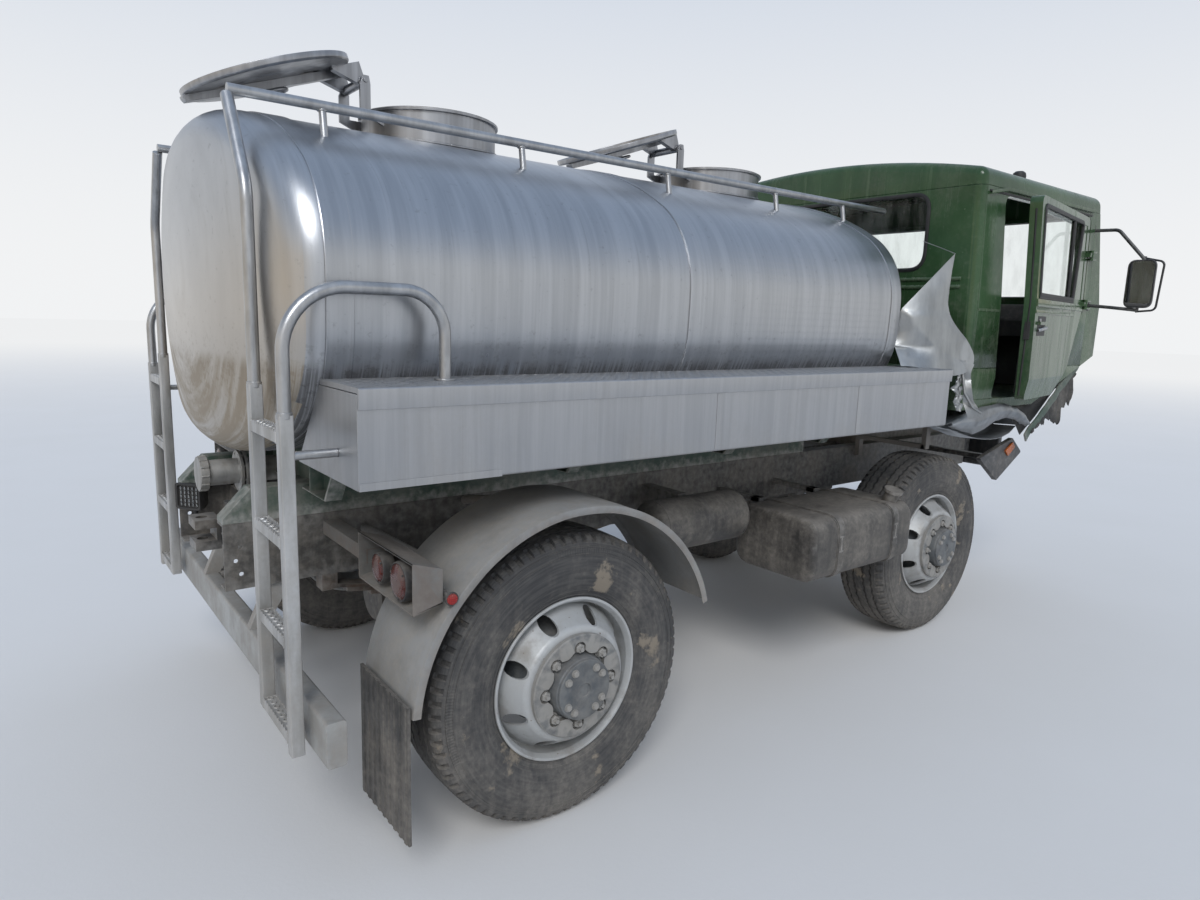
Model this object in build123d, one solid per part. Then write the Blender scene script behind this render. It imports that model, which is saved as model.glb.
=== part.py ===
from build123d import *
import os
from math import cos, hypot, pi, sin, sqrt

os.makedirs("parts", exist_ok=True)

# A short four-wheel-drive tanker lorry. Millimetres, X forward, Y left, Z up.
# Everything is drawn with the rear axle over x = 0 and is moved at the end so
# that the middle of the whole lorry stands over the origin.

# Driving dimensions
WHEELBASE = 2780
TYRE_RADIUS = 528
TYRE_WIDTH = 312
RIM_LIP_RADIUS = 298.5
REAR_WHEEL_Y = 1035
FRONT_WHEEL_Y = 815
KINGPIN_Y = 690
MIDDLE_X = 1705

RAIL_OUTER_Y = 400
RAIL_BOTTOM_Z = 800
RAIL_TOP_Z = 1040

TANK_HALF_WIDTH = 978
TANK_WAIST_Z = 1890
TANK_TOP_Z = 2470
TANK_BOTTOM_Z = 1250
TANK_REAR_SEAM_X = -750
TANK_FRONT_SEAM_X = 2180
HEAD_DEPTH = 215
HEAD_CROWN = 3400
HEAD_KNUCKLE = 130

HATCH_X = {"rear": 40, "front": 1730}
HATCH_RADIUS = 280
NECK_TOP_Z = 2580
LID_OPEN_ANGLE = 200
LID_HINGE_Z = 2670

BOX_OUTER_Y = 1220
BOX_BOTTOM_Z = 1300
BOX_TOP_Z = 1570
BOX_REAR_X = -760
BOX_FRONT_X = 2300

CAB_REAR_X = 2660
CAB_FRONT_X = 4310
CAB_HALF_WIDTH = 1120
CAB_FLOOR_Z = 1340
CAB_BELT_Z = 1950
CAB_ROOF_EDGE_Z = 2540
CAB_ROOF_HALF = 1100
CAB_ROOF_EAVES_Z = 2632
CAB_ROOF_Z = 2750
CAB_CORNER = 60
CAB_WALL = 38
DOOR_REAR_X = {"sill": 3000, "belt": 2960, "top": 2915}
DOOR_FRONT_X = 4040
DOOR_TOP_Z = 2500
DOOR_THICKNESS = 62
DOOR_GAP = 9
DOOR_REST_ANGLE = 9.5
DOOR_HINGE_X = 4043
DOOR_HINGE_Y = 1134

made = {}


def block(x0, x1, y0, y1, z0, z1):
    """A box between two corners."""
    size = Box(abs(x1 - x0), abs(y1 - y0), abs(z1 - z0))
    return Pos((x0 + x1) / 2, (y0 + y1) / 2, (z0 + z1) / 2) * size


def rod(start, end, radius):
    """A round bar between two points."""
    a, b = Vector(*start), Vector(*end)
    plane = Plane(origin=a, z_dir=b - a)
    return extrude(plane * Circle(radius), (b - a).length)


def bent_tube(points, radius, bend):
    """A bent round tube along straight runs and arcs."""
    path = FilletPolyline(*points, radius=bend)
    start = Vector(*points[0])
    away = Vector(*points[1]) - start
    return sweep(Plane(origin=start, z_dir=away) * Circle(radius), path=path)


def plate_xz(points, y, thickness):
    """A flat plate standing along the lorry, its outline given as (x, z)."""
    outline = make_face(Polyline(*[(x, y, z) for x, z in points], close=True))
    return extrude(outline, amount=thickness, dir=(0, 1, 0))


def plate_yz(points, x, thickness):
    """A flat plate standing across the lorry, its outline given as (y, z)."""
    outline = make_face(Polyline(*[(x, y, z) for y, z in points], close=True))
    return extrude(outline, amount=thickness, dir=(1, 0, 0))


def both_sides(shape):
    """The shape and its mirror image on the other side of the lorry."""
    return shape + mirror(shape, about=Plane.XZ)


def turned(profile, x, side):
    """A profile of (radius, outward y) turned about a wheel axis."""
    face = make_face(Polyline(*[(r, y) for r, y in profile], close=True))
    solid = revolve(Plane.XY * face, axis=Axis.Y)
    if side < 0:
        solid = mirror(solid, about=Plane.XZ)
    return Pos(x, 0, TYRE_RADIUS) * solid


def save(name, shape):
    """Keep a finished piece under its node name."""
    made[name] = Pos(-MIDDLE_X, 0, 0) * shape


# Tank section: a crowned top and bottom, full sides and round corners between
def corner_arc(side_radius, crown_radius, corner_radius, crown_z):
    """Points where the side, corner and crown arcs of one quarter meet."""
    up = 1 if crown_z > TANK_WAIST_Z else -1
    side_c = (TANK_HALF_WIDTH - side_radius, TANK_WAIST_Z)
    crown_c = (0, crown_z - up * crown_radius)
    reach_s = side_radius - corner_radius
    reach_c = crown_radius - corner_radius
    dy, dz = crown_c[0] - side_c[0], crown_c[1] - side_c[1]
    gap = hypot(dy, dz)
    along = (reach_s ** 2 - reach_c ** 2 + gap ** 2) / (2 * gap)
    across = sqrt(reach_s ** 2 - along ** 2)
    options = []
    for turn in (1, -1):
        y = side_c[0] + along * dy / gap - turn * across * dz / gap
        z = side_c[1] + along * dz / gap + turn * across * dy / gap
        options.append((y, z))
    centre = max(options, key=lambda c: up * c[1])

    def beyond(origin, radius):
        dy, dz = centre[0] - origin[0], centre[1] - origin[1]
        far = hypot(dy, dz)
        return (origin[0] + dy / far * radius, origin[1] + dz / far * radius)

    low = beyond(side_c, side_radius)
    high = beyond(crown_c, crown_radius)
    middle = (centre[0] + (low[0] + high[0] - 2 * centre[0]) / 2,
              centre[1] + (low[1] + high[1] - 2 * centre[1]) / 2)
    far = hypot(middle[0] - centre[0], middle[1] - centre[1])
    middle = (centre[0] + (middle[0] - centre[0]) / far * corner_radius,
              centre[1] + (middle[1] - centre[1]) / far * corner_radius)
    return low, middle, high


def tank_section(x, inset=0.0):
    """The tank's outline across the lorry at one x."""
    u_low, u_mid, u_high = corner_arc(1500, 1500, 400, TANK_TOP_Z)
    d_low, d_mid, d_high = corner_arc(2500, 1900, 400, TANK_BOTTOM_Z)

    def at(y, z):
        k = (TANK_HALF_WIDTH - inset) / TANK_HALF_WIDTH
        return (x, y * k, TANK_WAIST_Z + (z - TANK_WAIST_Z) * k)

    def left(p):
        return at(p[0], p[1])

    def right(p):
        return at(-p[0], p[1])

    edges = [
        ThreePointArc(right(u_high), at(0, TANK_TOP_Z), left(u_high)),
        ThreePointArc(left(u_high), left(u_mid), left(u_low)),
        ThreePointArc(left(u_low), at(TANK_HALF_WIDTH, TANK_WAIST_Z), left(d_low)),
        ThreePointArc(left(d_low), left(d_mid), left(d_high)),
        ThreePointArc(left(d_high), at(0, TANK_BOTTOM_Z), right(d_high)),
        ThreePointArc(right(d_high), right(d_mid), right(d_low)),
        ThreePointArc(right(d_low), at(-TANK_HALF_WIDTH, TANK_WAIST_Z), right(u_low)),
        ThreePointArc(right(u_low), right(u_mid), right(u_high)),
    ]
    return make_face(edges)


# The heads are dished like a ball's side, with a rounded knuckle to the flanks
def tank_solid():
    """The tank with its two dished heads."""
    rear_tip = TANK_REAR_SEAM_X - HEAD_DEPTH
    front_tip = TANK_FRONT_SEAM_X + HEAD_DEPTH
    body = extrude(tank_section(rear_tip - 20), amount=front_tip - rear_tip + 40, dir=(1, 0, 0))
    body &= Pos(rear_tip + HEAD_CROWN, 0, TANK_WAIST_Z) * Sphere(HEAD_CROWN)
    body &= Pos(front_tip - HEAD_CROWN, 0, TANK_WAIST_Z) * Sphere(HEAD_CROWN)
    rims = [e for e in body.edges() if e.bounding_box().size.X < 150]
    return fillet(rims, HEAD_KNUCKLE)


tank = tank_solid()
WELL_BOTTOM_Z = 2220
for x in HATCH_X.values():
    tank -= Pos(x, 0, (WELL_BOTTOM_Z + TANK_TOP_Z + 10) / 2) * Cylinder(
        HATCH_RADIUS - 14, TANK_TOP_Z + 10 - WELL_BOTTOM_Z)
save("tank_body", tank)

# Manhole necks stand on the tank, each with two drilled lugs for the lid's hinge pin
PIN_RADIUS = 9
necks = []
for x in HATCH_X.values():
    outer = Pos(x, 0, (TANK_TOP_Z + NECK_TOP_Z) / 2 - 20) * Cylinder(
        HATCH_RADIUS, NECK_TOP_Z - TANK_TOP_Z + 40)
    ring = outer - Pos(x, 0, NECK_TOP_Z - 60) * Cylinder(HATCH_RADIUS - 8, 400)
    flange = Pos(x, 0, NECK_TOP_Z - 5) * (Cylinder(HATCH_RADIUS + 12, 10) - Cylinder(HATCH_RADIUS - 8, 12))
    hinge_x = x - HATCH_RADIUS - 45
    neck = ring + flange
    for y in (-115, 115):
        lug = plate_xz([(hinge_x - 22, LID_HINGE_Z - 18), (hinge_x - 8, LID_HINGE_Z + 18),
                        (hinge_x + 14, LID_HINGE_Z + 18), (hinge_x + 20, LID_HINGE_Z - 12),
                        (hinge_x + 20, NECK_TOP_Z - 16), (x - HATCH_RADIUS + 30, NECK_TOP_Z - 16),
                        (x - HATCH_RADIUS + 30, NECK_TOP_Z - 70), (hinge_x - 22, NECK_TOP_Z - 30)],
                       y - 6, 12)
        neck += lug
    pin_hole = rod((hinge_x, -130, LID_HINGE_Z), (hinge_x, 130, LID_HINGE_Z), PIN_RADIUS + 1)
    necks.append(neck - pin_hole - tank)
save("manhole_necks", Compound(children=[n for neck in necks for n in neck.solids()]))

# Lids, built open: flipped right over to the rear about a hinge across the neck
for name, x in HATCH_X.items():
    hinge_x = x - HATCH_RADIUS - 45
    disc = Pos(x, 0, NECK_TOP_Z + 13) * Cylinder(HATCH_RADIUS + 22, 12)
    skirt = Pos(x, 0, NECK_TOP_Z + 6) * (Cylinder(HATCH_RADIUS + 30, 26) - Cylinder(HATCH_RADIUS + 20, 30))
    bar = block(hinge_x - 6, x + HATCH_RADIUS + 40, -22, 22, NECK_TOP_Z + 19, NECK_TOP_Z + 49)
    knuckle = rod((hinge_x, -100, LID_HINGE_Z), (hinge_x, 100, LID_HINGE_Z), 18)
    knuckle += rod((hinge_x, -126, LID_HINGE_Z), (hinge_x, 126, LID_HINGE_Z), PIN_RADIUS)
    arms = block(hinge_x - 10, x - HATCH_RADIUS + 60, -96, -66, NECK_TOP_Z + 19, LID_HINGE_Z + 10)
    arms += block(hinge_x - 10, x - HATCH_RADIUS + 60, 66, 96, NECK_TOP_Z + 19, LID_HINGE_Z + 10)
    grip = Pos(x, 0, NECK_TOP_Z + 60) * (Cylinder(60, 14) - Cylinder(46, 16))
    grip += Pos(x, 0, NECK_TOP_Z + 60) * Box(110, 20, 14)
    grip += Pos(x, 0, NECK_TOP_Z + 51) * Cylinder(12, 16)
    lid = disc + skirt + bar + arms + knuckle + grip
    hinge = Axis((hinge_x, 0, LID_HINGE_Z), (0, 1, 0))
    save("lid_" + name, lid.rotate(hinge, -LID_OPEN_ANGLE))

# Hand rails along the tank's top, on short posts
RAIL_Y = 600
RAIL_Z = 2428
RAIL_X = (-903, 2540)
RAIL_POSTS_X = (-620, 130, 880, 1600, 2150)
right_rail = rod((RAIL_X[0], -RAIL_Y, RAIL_Z), (RAIL_X[1], -RAIL_Y, RAIL_Z), 17)
for x in RAIL_POSTS_X:
    right_rail += rod((x, -RAIL_Y, RAIL_Z), (x, -RAIL_Y - 20, 2300), 12)
right_rail = right_rail - tank
save("top_rails", both_sides(right_rail))

# Side boxes along both sides, under the tank's flanks
LID_SKIRT = 46
lid_edge_z = BOX_TOP_Z + 14 - LID_SKIRT
box_outline = [(-BOX_OUTER_Y, BOX_BOTTOM_Z), (-BOX_OUTER_Y, lid_edge_z), (-BOX_OUTER_Y - 12, lid_edge_z),
               (-BOX_OUTER_Y - 12, BOX_TOP_Z + 14), (-700, BOX_TOP_Z + 14), (-640, BOX_BOTTOM_Z)]
side_box = plate_yz(box_outline, BOX_REAR_X, BOX_FRONT_X - BOX_REAR_X)
grown = extrude(tank_section(BOX_REAR_X - 300, -2), amount=4000, dir=(1, 0, 0))
side_box = side_box - grown
side_box = max(side_box.solids(), key=lambda s: s.volume)
save("side_boxes", both_sides(side_box))

# Rear ladders, each with its hoop over the box and its neck up to the rail
LADDER_X = -903
LADDER_Y = (770, 1065)
ladder_bottom = 500
rung_z = [550, 845, 1140, 1440]
tube = 20
square_top = {"outer": 1490, "inner": 1550}
outer_rail = bent_tube([(LADDER_X, -LADDER_Y[1], square_top["outer"]), (LADDER_X, -LADDER_Y[1], 1850),
                        (LADDER_X + 480, -LADDER_Y[1], 1850),
                        (LADDER_X + 480, -LADDER_Y[1], BOX_TOP_Z + 14)], tube, 232)
inner_rail = bent_tube([(LADDER_X, -LADDER_Y[0], square_top["inner"]), (LADDER_X, -LADDER_Y[0], 2130),
                        (LADDER_X, -RAIL_Y, RAIL_Z - 17)], tube, 160)
ladder = outer_rail + inner_rail
for y, foot, top in ((LADDER_Y[1], ladder_bottom, square_top["outer"]),
                     (LADDER_Y[0], ladder_bottom + 30, square_top["inner"])):
    ladder += block(LADDER_X - tube, LADDER_X + tube, -y - tube, -y + tube, foot, top)
for z in rung_z:
    tread = block(LADDER_X - 20, LADDER_X + 20, -LADDER_Y[1] + 10, -LADDER_Y[0] - 10, z - 18, z + 18)
    tread -= block(LADDER_X - 16, LADDER_X + 16, -LADDER_Y[1] + tube, -LADDER_Y[0] - tube, z - 19, z + 13)
    ladder += tread
ladder += rod((LADDER_X, -LADDER_Y[1] + 5, 1385), (BOX_REAR_X, -LADDER_Y[1] + 5, 1385), 14)
ladder = ladder - right_rail
ladder = max(ladder.solids(), key=lambda s: s.volume)
save("ladders", both_sides(ladder))

# Frame: two channel rails and their cross members
RAIL_REAR_X = -935
RAIL_FRONT_X = 4150
rail = block(RAIL_REAR_X, RAIL_FRONT_X, -RAIL_OUTER_Y, -RAIL_OUTER_Y + 8, RAIL_BOTTOM_Z, RAIL_TOP_Z)
for z in (RAIL_BOTTOM_Z, RAIL_TOP_Z - 8):
    rail += block(RAIL_REAR_X, RAIL_FRONT_X, -RAIL_OUTER_Y, -RAIL_OUTER_Y + 75, z, z + 8)
for x, z in ((-880, 955), (-897, 905), (-880, 855)):
    rail -= rod((x, -RAIL_OUTER_Y - 1, z), (x, -RAIL_OUTER_Y + 9, z), 8)
frame = both_sides(rail)
for x in (-740, 420, 1250, 4070):
    frame += block(x, x + 70, -RAIL_OUTER_Y + 4, RAIL_OUTER_Y - 4, RAIL_BOTTOM_Z + 20, RAIL_TOP_Z - 20)
save("frame_rails", frame)

# Tank cradle: two long bearers with sloping rear ends, and four folded saddles
bearer = plate_xz([(RAIL_REAR_X, RAIL_TOP_Z), (2240, RAIL_TOP_Z), (2240, RAIL_TOP_Z + 120),
                   (RAIL_REAR_X + 95, RAIL_TOP_Z + 120), (RAIL_REAR_X, RAIL_TOP_Z + 20)], -RAIL_OUTER_Y, 80)
cradle = both_sides(bearer)
SADDLE_X = (-660, 350, 1300, 2060)
saddle_outline = [(-640, RAIL_TOP_Z + 100), (640, RAIL_TOP_Z + 100), (900, 1500), (-900, 1500)]
saddle_hollow = [(-626, RAIL_TOP_Z + 106), (626, RAIL_TOP_Z + 106), (884, 1500), (-884, 1500)]
for x in SADDLE_X:
    saddle = plate_yz(saddle_outline, x, 60) - plate_yz(saddle_hollow, x - 1, 53)
    for y in (-480, -160, 160, 480):
        saddle += block(x, x + 54, y - 4, y + 4, RAIL_TOP_Z + 104, 1500)
    cradle += saddle
cradle = cradle - grown
box_room = plate_yz([(-1300, 1298), (-1300, 1700), (-560, 1700), (-638, 1298)], -900, 4000)
cradle = cradle - both_sides(box_room)
cradle = max(cradle.solids(), key=lambda s: s.volume)
save("tank_cradle", cradle)

# Under-run bar across the rear, on two drop arms
bar = block(-860, -800, -1200, 1200, 498, 638)
arm = block(-800, -760, -380, -320, 520, 640) + plate_xz(
    [(-860, 638), (-800, 638), (-700, RAIL_BOTTOM_Z), (-790, RAIL_BOTTOM_Z)], -385, 40)
save("underrun_bar", bar + both_sides(arm))

# Rear lamps: an outrigger each side whose end is a housing open to the rear, with two round
# lamps in it and a marker on its end
HOUSING_X = (-615, -520)
HOUSING_Y = (-1240, -820)
LAMP_Z = 995
housing = plate_xz([(HOUSING_X[0], 917), (HOUSING_X[0], 1076), (HOUSING_X[1], 1046), (HOUSING_X[1], 940)],
                   HOUSING_Y[0], HOUSING_Y[1] - HOUSING_Y[0])
housing -= plate_xz([(HOUSING_X[0] - 1, 922), (HOUSING_X[0] - 1, 1071), (HOUSING_X[1] - 5, 1041),
                     (HOUSING_X[1] - 5, 945)], HOUSING_Y[0] + 5, HOUSING_Y[1] - HOUSING_Y[0] - 10)
lamps = housing + block(-590, -530, HOUSING_Y[1] - 5, -RAIL_OUTER_Y, 960, 1010)
for y, radius in ((-1140, 62), (-985, 50)):
    lamps += rod((HOUSING_X[1] - 4, y, LAMP_Z), (-575, y, LAMP_Z), radius * 0.6)
    lamps += rod((-575, y, LAMP_Z), (-625, y, LAMP_Z), radius)
lamps += rod((-500, -1200, 955), (-500, -1262, 955), 9) + rod((-500, -1254, 955), (-500, -1268, 955), 22)
lamps += block(-525, -491, -1206, -1190, 945, 965)
save("rear_lamps", both_sides(lamps))

# Tow coupling on the rear cross member
coupling = block(-820, -740, -110, 110, 830, 1010)
coupling += rod((-820, 0, 920), (-870, 0, 920), 60)
jaw = block(-960, -870, -60, 60, 860, 980) - block(-970, -885, -61, 61, 895, 945)
coupling += jaw
coupling -= rod((-925, 0, 820), (-925, 0, 1020), 20)
save("tow_coupling", coupling)

# Rear mudguards and flaps
GUARD_RADIUS = 625
guard_ring = Cylinder(GUARD_RADIUS, 380) - Cylinder(GUARD_RADIUS - 6, 400)
for end in (-188, 188):
    guard_ring += Pos(0, 0, end) * (Cylinder(GUARD_RADIUS, 4) - Cylinder(GUARD_RADIUS - 26, 6))
guard = Pos(0, -1060, 545) * Rot(90, 0, 0) * guard_ring
guard -= block(-900, 900, -1400, -700, -200, 600)
guard -= block(560, 900, -1400, -700, 0, 720)
stay = rod((0, -RAIL_OUTER_Y, 1020), (0, -880, 1120), 18)
stay += rod((-430, -RAIL_OUTER_Y, 960), (-430, -880, 975), 18)
guard = guard + (stay - frame - Pos(0, -1060, 545) * Rot(90, 0, 0) * Cylinder(GUARD_RADIUS - 3, 400))
guard = max(guard.solids(), key=lambda s: s.volume)
save("rear_mudguards", both_sides(guard))
flap = block(-638, -627, -1245, -875, 190, 640)
for rib in range(9):
    rib_y = -1245 + 370 * (rib + 0.5) / 9
    flap += block(-642, -638, rib_y - 8, rib_y + 8, 190, 640)
save("mudflaps", both_sides(flap))

# Rear axle: tube, final drive and brake back plates
axle = rod((0, -905, TYRE_RADIUS), (0, 905, TYRE_RADIUS), 78)
axle += Pos(0, 0, TYRE_RADIUS) * Sphere(205)
axle += rod((-60, 0, TYRE_RADIUS), (-250, 0, TYRE_RADIUS), 110)
axle += rod((150, 0, TYRE_RADIUS), (300, 0, TYRE_RADIUS + 40), 80)
save("rear_axle", axle)

# Front axle: tube with an offset final drive and a ball at each end
axle = rod((WHEELBASE, -KINGPIN_Y, TYRE_RADIUS), (WHEELBASE, KINGPIN_Y, TYRE_RADIUS), 58)
axle += Pos(WHEELBASE, 150, TYRE_RADIUS) * Sphere(175)
axle += rod((WHEELBASE - 120, 150, TYRE_RADIUS), (WHEELBASE - 260, 150, TYRE_RADIUS + 30), 70)
for side in (-1, 1):
    axle += Pos(WHEELBASE, side * KINGPIN_Y, TYRE_RADIUS) * Sphere(104)
save("front_axle", axle)

# Knuckles: swivel cups over the axle's balls, each with its arm
for side, name in ((-1, "right"), (1, "left")):
    ball = Pos(WHEELBASE, side * KINGPIN_Y, TYRE_RADIUS)
    cup = ball * (Sphere(128) - Sphere(110))
    cup -= block(WHEELBASE - 200, WHEELBASE + 200, side * (KINGPIN_Y - 42), 0, 300, 760)
    stub = rod((WHEELBASE, side * (KINGPIN_Y + 112), TYRE_RADIUS),
               (WHEELBASE, side * (KINGPIN_Y + 150), TYRE_RADIUS), 70)
    caps = rod((WHEELBASE, side * KINGPIN_Y, TYRE_RADIUS + 118),
               (WHEELBASE, side * KINGPIN_Y, TYRE_RADIUS + 150), 50)
    caps += rod((WHEELBASE, side * KINGPIN_Y, TYRE_RADIUS - 118),
                (WHEELBASE, side * KINGPIN_Y, TYRE_RADIUS - 150), 50)
    steer_arm = rod((WHEELBASE - 90, side * (KINGPIN_Y - 10), TYRE_RADIUS - 80),
                    (WHEELBASE - 240, side * (KINGPIN_Y - 60), TYRE_RADIUS - 80), 20)
    save("knuckle_" + name, cup + stub + caps + steer_arm)

# Leaf springs under the rails (axle x, half length, leaves)
springs = None
for x, half, leaves in ((0, 600, 5), (WHEELBASE, 560, 4)):
    for leaf in range(leaves):
        reach = half - leaf * 95
        z = 690 - leaf * 16
        arch = ThreePointArc((x - reach, -398, z + reach ** 2 / 6000), (x, -398, z),
                             (x + reach, -398, z + reach ** 2 / 6000))
        top = ThreePointArc((x + reach, -398, z + 15 + reach ** 2 / 6000), (x, -398, z + 15),
                            (x - reach, -398, z + 15 + reach ** 2 / 6000))
        ends = [Line(arch @ 1, top @ 0), Line(top @ 1, arch @ 0)]
        strip = extrude(make_face([arch, top] + ends), amount=68, dir=(0, 1, 0))
        springs = strip if springs is None else springs + strip
    springs += block(x - 90, x + 90, -398, -330, 580, 640)
    for end in (-1, 1):
        springs += block(x + end * (half - 30) - 30, x + end * (half - 30) + 30, -398, -330,
                         735, RAIL_BOTTOM_Z)
springs = springs - made["rear_axle"].moved(Pos(MIDDLE_X, 0, 0))
springs = springs - made["front_axle"].moved(Pos(MIDDLE_X, 0, 0))
springs = Compound(children=[s for s in springs.solids() if s.volume > 50000])
save("leaf_springs", both_sides(springs))

# Gearbox, transfer box and shafts
drive = block(2150, 2900, -160, 160, 700, 1010)
drive += block(1300, 1700, -230, 230, 640, 1000) + block(1700, 2150, -60, 60, 800, 900)
drive += rod((1300, 0, 740), (300, 0, 590), 45)
drive += rod((1700, 150, 700), (2505, 150, 580), 38)
drive = drive - made["front_axle"].moved(Pos(MIDDLE_X, 0, 0)) - made["rear_axle"].moved(Pos(MIDDLE_X, 0, 0))
drive = drive - frame
drive = max(drive.solids(), key=lambda s: s.volume)
save("driveline", drive)

save("engine_block", block(2950, 3950, -310, 310, 790, 1300))

# Fuel tank on the right, air tanks behind it, battery box on the left
fuel = block(1340, 2150, -1180, -700, 610, 910)
fuel = fillet(fuel.edges().filter_by(Axis.X), 85)
for x in (1520, 1970):
    fuel += block(x, x + 45, -1186, -694, 700, 820) + block(x, x + 45, -1090, -790, 604, 916)
    fuel += block(x, x + 45, -700, -RAIL_OUTER_Y, 880, 905) + block(x, x + 45, -694, -640, 700, 905)
fuel += rod((2060, -1080, 880), (2060, -1110, 960), 38) + rod((2060, -1108, 955), (2060, -1114, 973), 48)
save("fuel_tank", fuel)

air = rod((700, -740, 870), (1310, -740, 870), 120)
air += rod((760, 740, 870), (1310, 740, 870), 120)
air += block(980, 1040, -660, -RAIL_OUTER_Y, 850, 980) + block(980, 1040, RAIL_OUTER_Y, 660, 850, 980)
save("air_tanks", air)

battery = block(1420, 2100, 520, 1100, 620, 1000)
battery = fillet(battery.edges().filter_by(Axis.X), 25) + block(1500, 2020, RAIL_OUTER_Y, 520, 820, 860)
save("battery_box", battery)

# Outlet under the rear of the tank, with its hand valve and hose coupling
outlet = rod((-500, 0, 1256), (-500, 0, 1150), 60) + rod((-500, 0, 1150), (-900, 0, 1150), 50)
outlet += Pos(-500, 0, 1150) * Sphere(62)
outlet += rod((-760, 0, 1150), (-790, 0, 1150), 80) + rod((-900, 0, 1150), (-930, 0, 1150), 68)
outlet = outlet - tank - cradle
outlet = max(outlet.solids(), key=lambda s: s.volume)
save("outlet_valve", outlet)


# Cab shell: one outline drawn out along the lorry, cut by a raked front
def cab_outline(x, wall, base_z):
    """The cab's outline across the lorry, inset by the wall's thickness."""
    half = CAB_HALF_WIDTH - wall
    eaves = CAB_ROOF_HALF - wall
    eaves_z = CAB_ROOF_EAVES_Z - wall
    points = [(-half + 30, base_z), (-half, base_z + 180), (-half, CAB_BELT_Z), (-eaves, eaves_z)]
    roof = ThreePointArc((x, -eaves, eaves_z), (x, 0, CAB_ROOF_Z - wall), (x, eaves, eaves_z))
    right = Polyline(*[(x, y, z) for y, z in points])
    left = Polyline(*[(x, -y, z) for y, z in reversed(points)])
    base = Line((x, points[0][0], base_z), (x, -points[0][0], base_z))
    outline = make_face([right, roof, left, base])
    return fillet([v for v in outline.vertices() if abs(v.Z - eaves_z) < 1], max(CAB_CORNER - wall, 12))


def cab_front_cut(setback):
    """What lies ahead of the raked screen and the front panel."""
    outline = [(CAB_FRONT_X - setback, 1000), (CAB_FRONT_X - setback, CAB_BELT_Z),
               (CAB_FRONT_X - 190 - setback, CAB_ROOF_Z + 50), (5000, CAB_ROOF_Z + 50), (5000, 1000)]
    return plate_xz(outline, -1400, 2800)


cab_outer = extrude(cab_outline(CAB_REAR_X, 0, CAB_FLOOR_Z), amount=2000, dir=(1, 0, 0)) - cab_front_cut(0)
rear_edges = [e for e in cab_outer.edges() if e.bounding_box().max.X < CAB_REAR_X + 1
              and e.bounding_box().max.Z > CAB_FLOOR_Z + 1]
cab_outer = fillet(rear_edges, CAB_CORNER - 10)
cab_inner = extrude(cab_outline(CAB_REAR_X + CAB_WALL, CAB_WALL, CAB_FLOOR_Z + 60), amount=2000,
                    dir=(1, 0, 0)) - cab_front_cut(CAB_WALL)
shell = cab_outer - cab_inner

roof_zone = block(2000, 5000, -1300, 1300, CAB_ROOF_EDGE_Z, 3000)
floor_zone = block(2000, 5000, -1300, 1300, 1000, CAB_FLOOR_Z + 60)
back_zone = block(2000, CAB_REAR_X + CAB_WALL, -1300, 1300, CAB_FLOOR_Z + 60, CAB_ROOF_EDGE_Z)
front_zone = block(4120, 5000, -1300, 1300, CAB_FLOOR_Z + 60, CAB_ROOF_EDGE_Z)


def window_yz(x0, x1, half_width, z0, z1, corner):
    """A rounded window opening through a wall that faces along the lorry."""
    face = Plane(origin=(x0, 0, (z0 + z1) / 2), x_dir=(0, 1, 0), z_dir=(1, 0, 0))
    return extrude(face * RectangleRounded(2 * half_width, z1 - z0, corner), amount=x1 - x0)


rear_window = window_yz(2600, 2760, 800, 2115, 2515, 90)
screen_window = window_yz(4000, 4500, 965, 2020, 2515, 80)


def door_shape(grow):
    """The door's outline, grown all round, as a tool that passes through the right wall."""
    rear = DOOR_REAR_X
    outline = [(rear["sill"], 1405), (3590, 1405), (3830, 1570), (DOOR_FRONT_X, 1920),
               (DOOR_FRONT_X, DOOR_TOP_Z), (rear["top"], DOOR_TOP_Z), (rear["belt"], CAB_BELT_Z)]
    face = make_face(Polyline(*[(x, 0, z) for x, z in outline], close=True))
    face = fillet([v for v in face.vertices() if v.Z < 1500 or v.Z > DOOR_TOP_Z - 1], 40)
    if grow:
        face = offset(face, grow, kind=Kind.INTERSECTION)
    return Pos(0, -500, 0) * extrude(face, amount=900, dir=(0, -1, 0))


window_outline = [(DOOR_REAR_X["belt"] + 62, 1990), (DOOR_FRONT_X - 60, 1990),
                  (DOOR_FRONT_X - 60, DOOR_TOP_Z - 55), (DOOR_REAR_X["top"] + 62, DOOR_TOP_Z - 55)]

opening_right = door_shape(DOOR_GAP)
opening = opening_right + mirror(opening_right, about=Plane.XZ)
save("cab_roof", shell & roof_zone)
save("cab_floor", shell & floor_zone)
back_wall = (shell & back_zone) - rear_window
save("cab_back_wall", back_wall)
cab_front = (shell & front_zone) - screen_window
for z in range(1450, 1760, 44):
    for y in range(-560, 561, 280):
        cab_front -= block(4200, 4400, y - 128, y + 128, z, z + 22)
save("cab_front", cab_front)
sides = shell - roof_zone - floor_zone - back_zone - front_zone - opening

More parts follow.
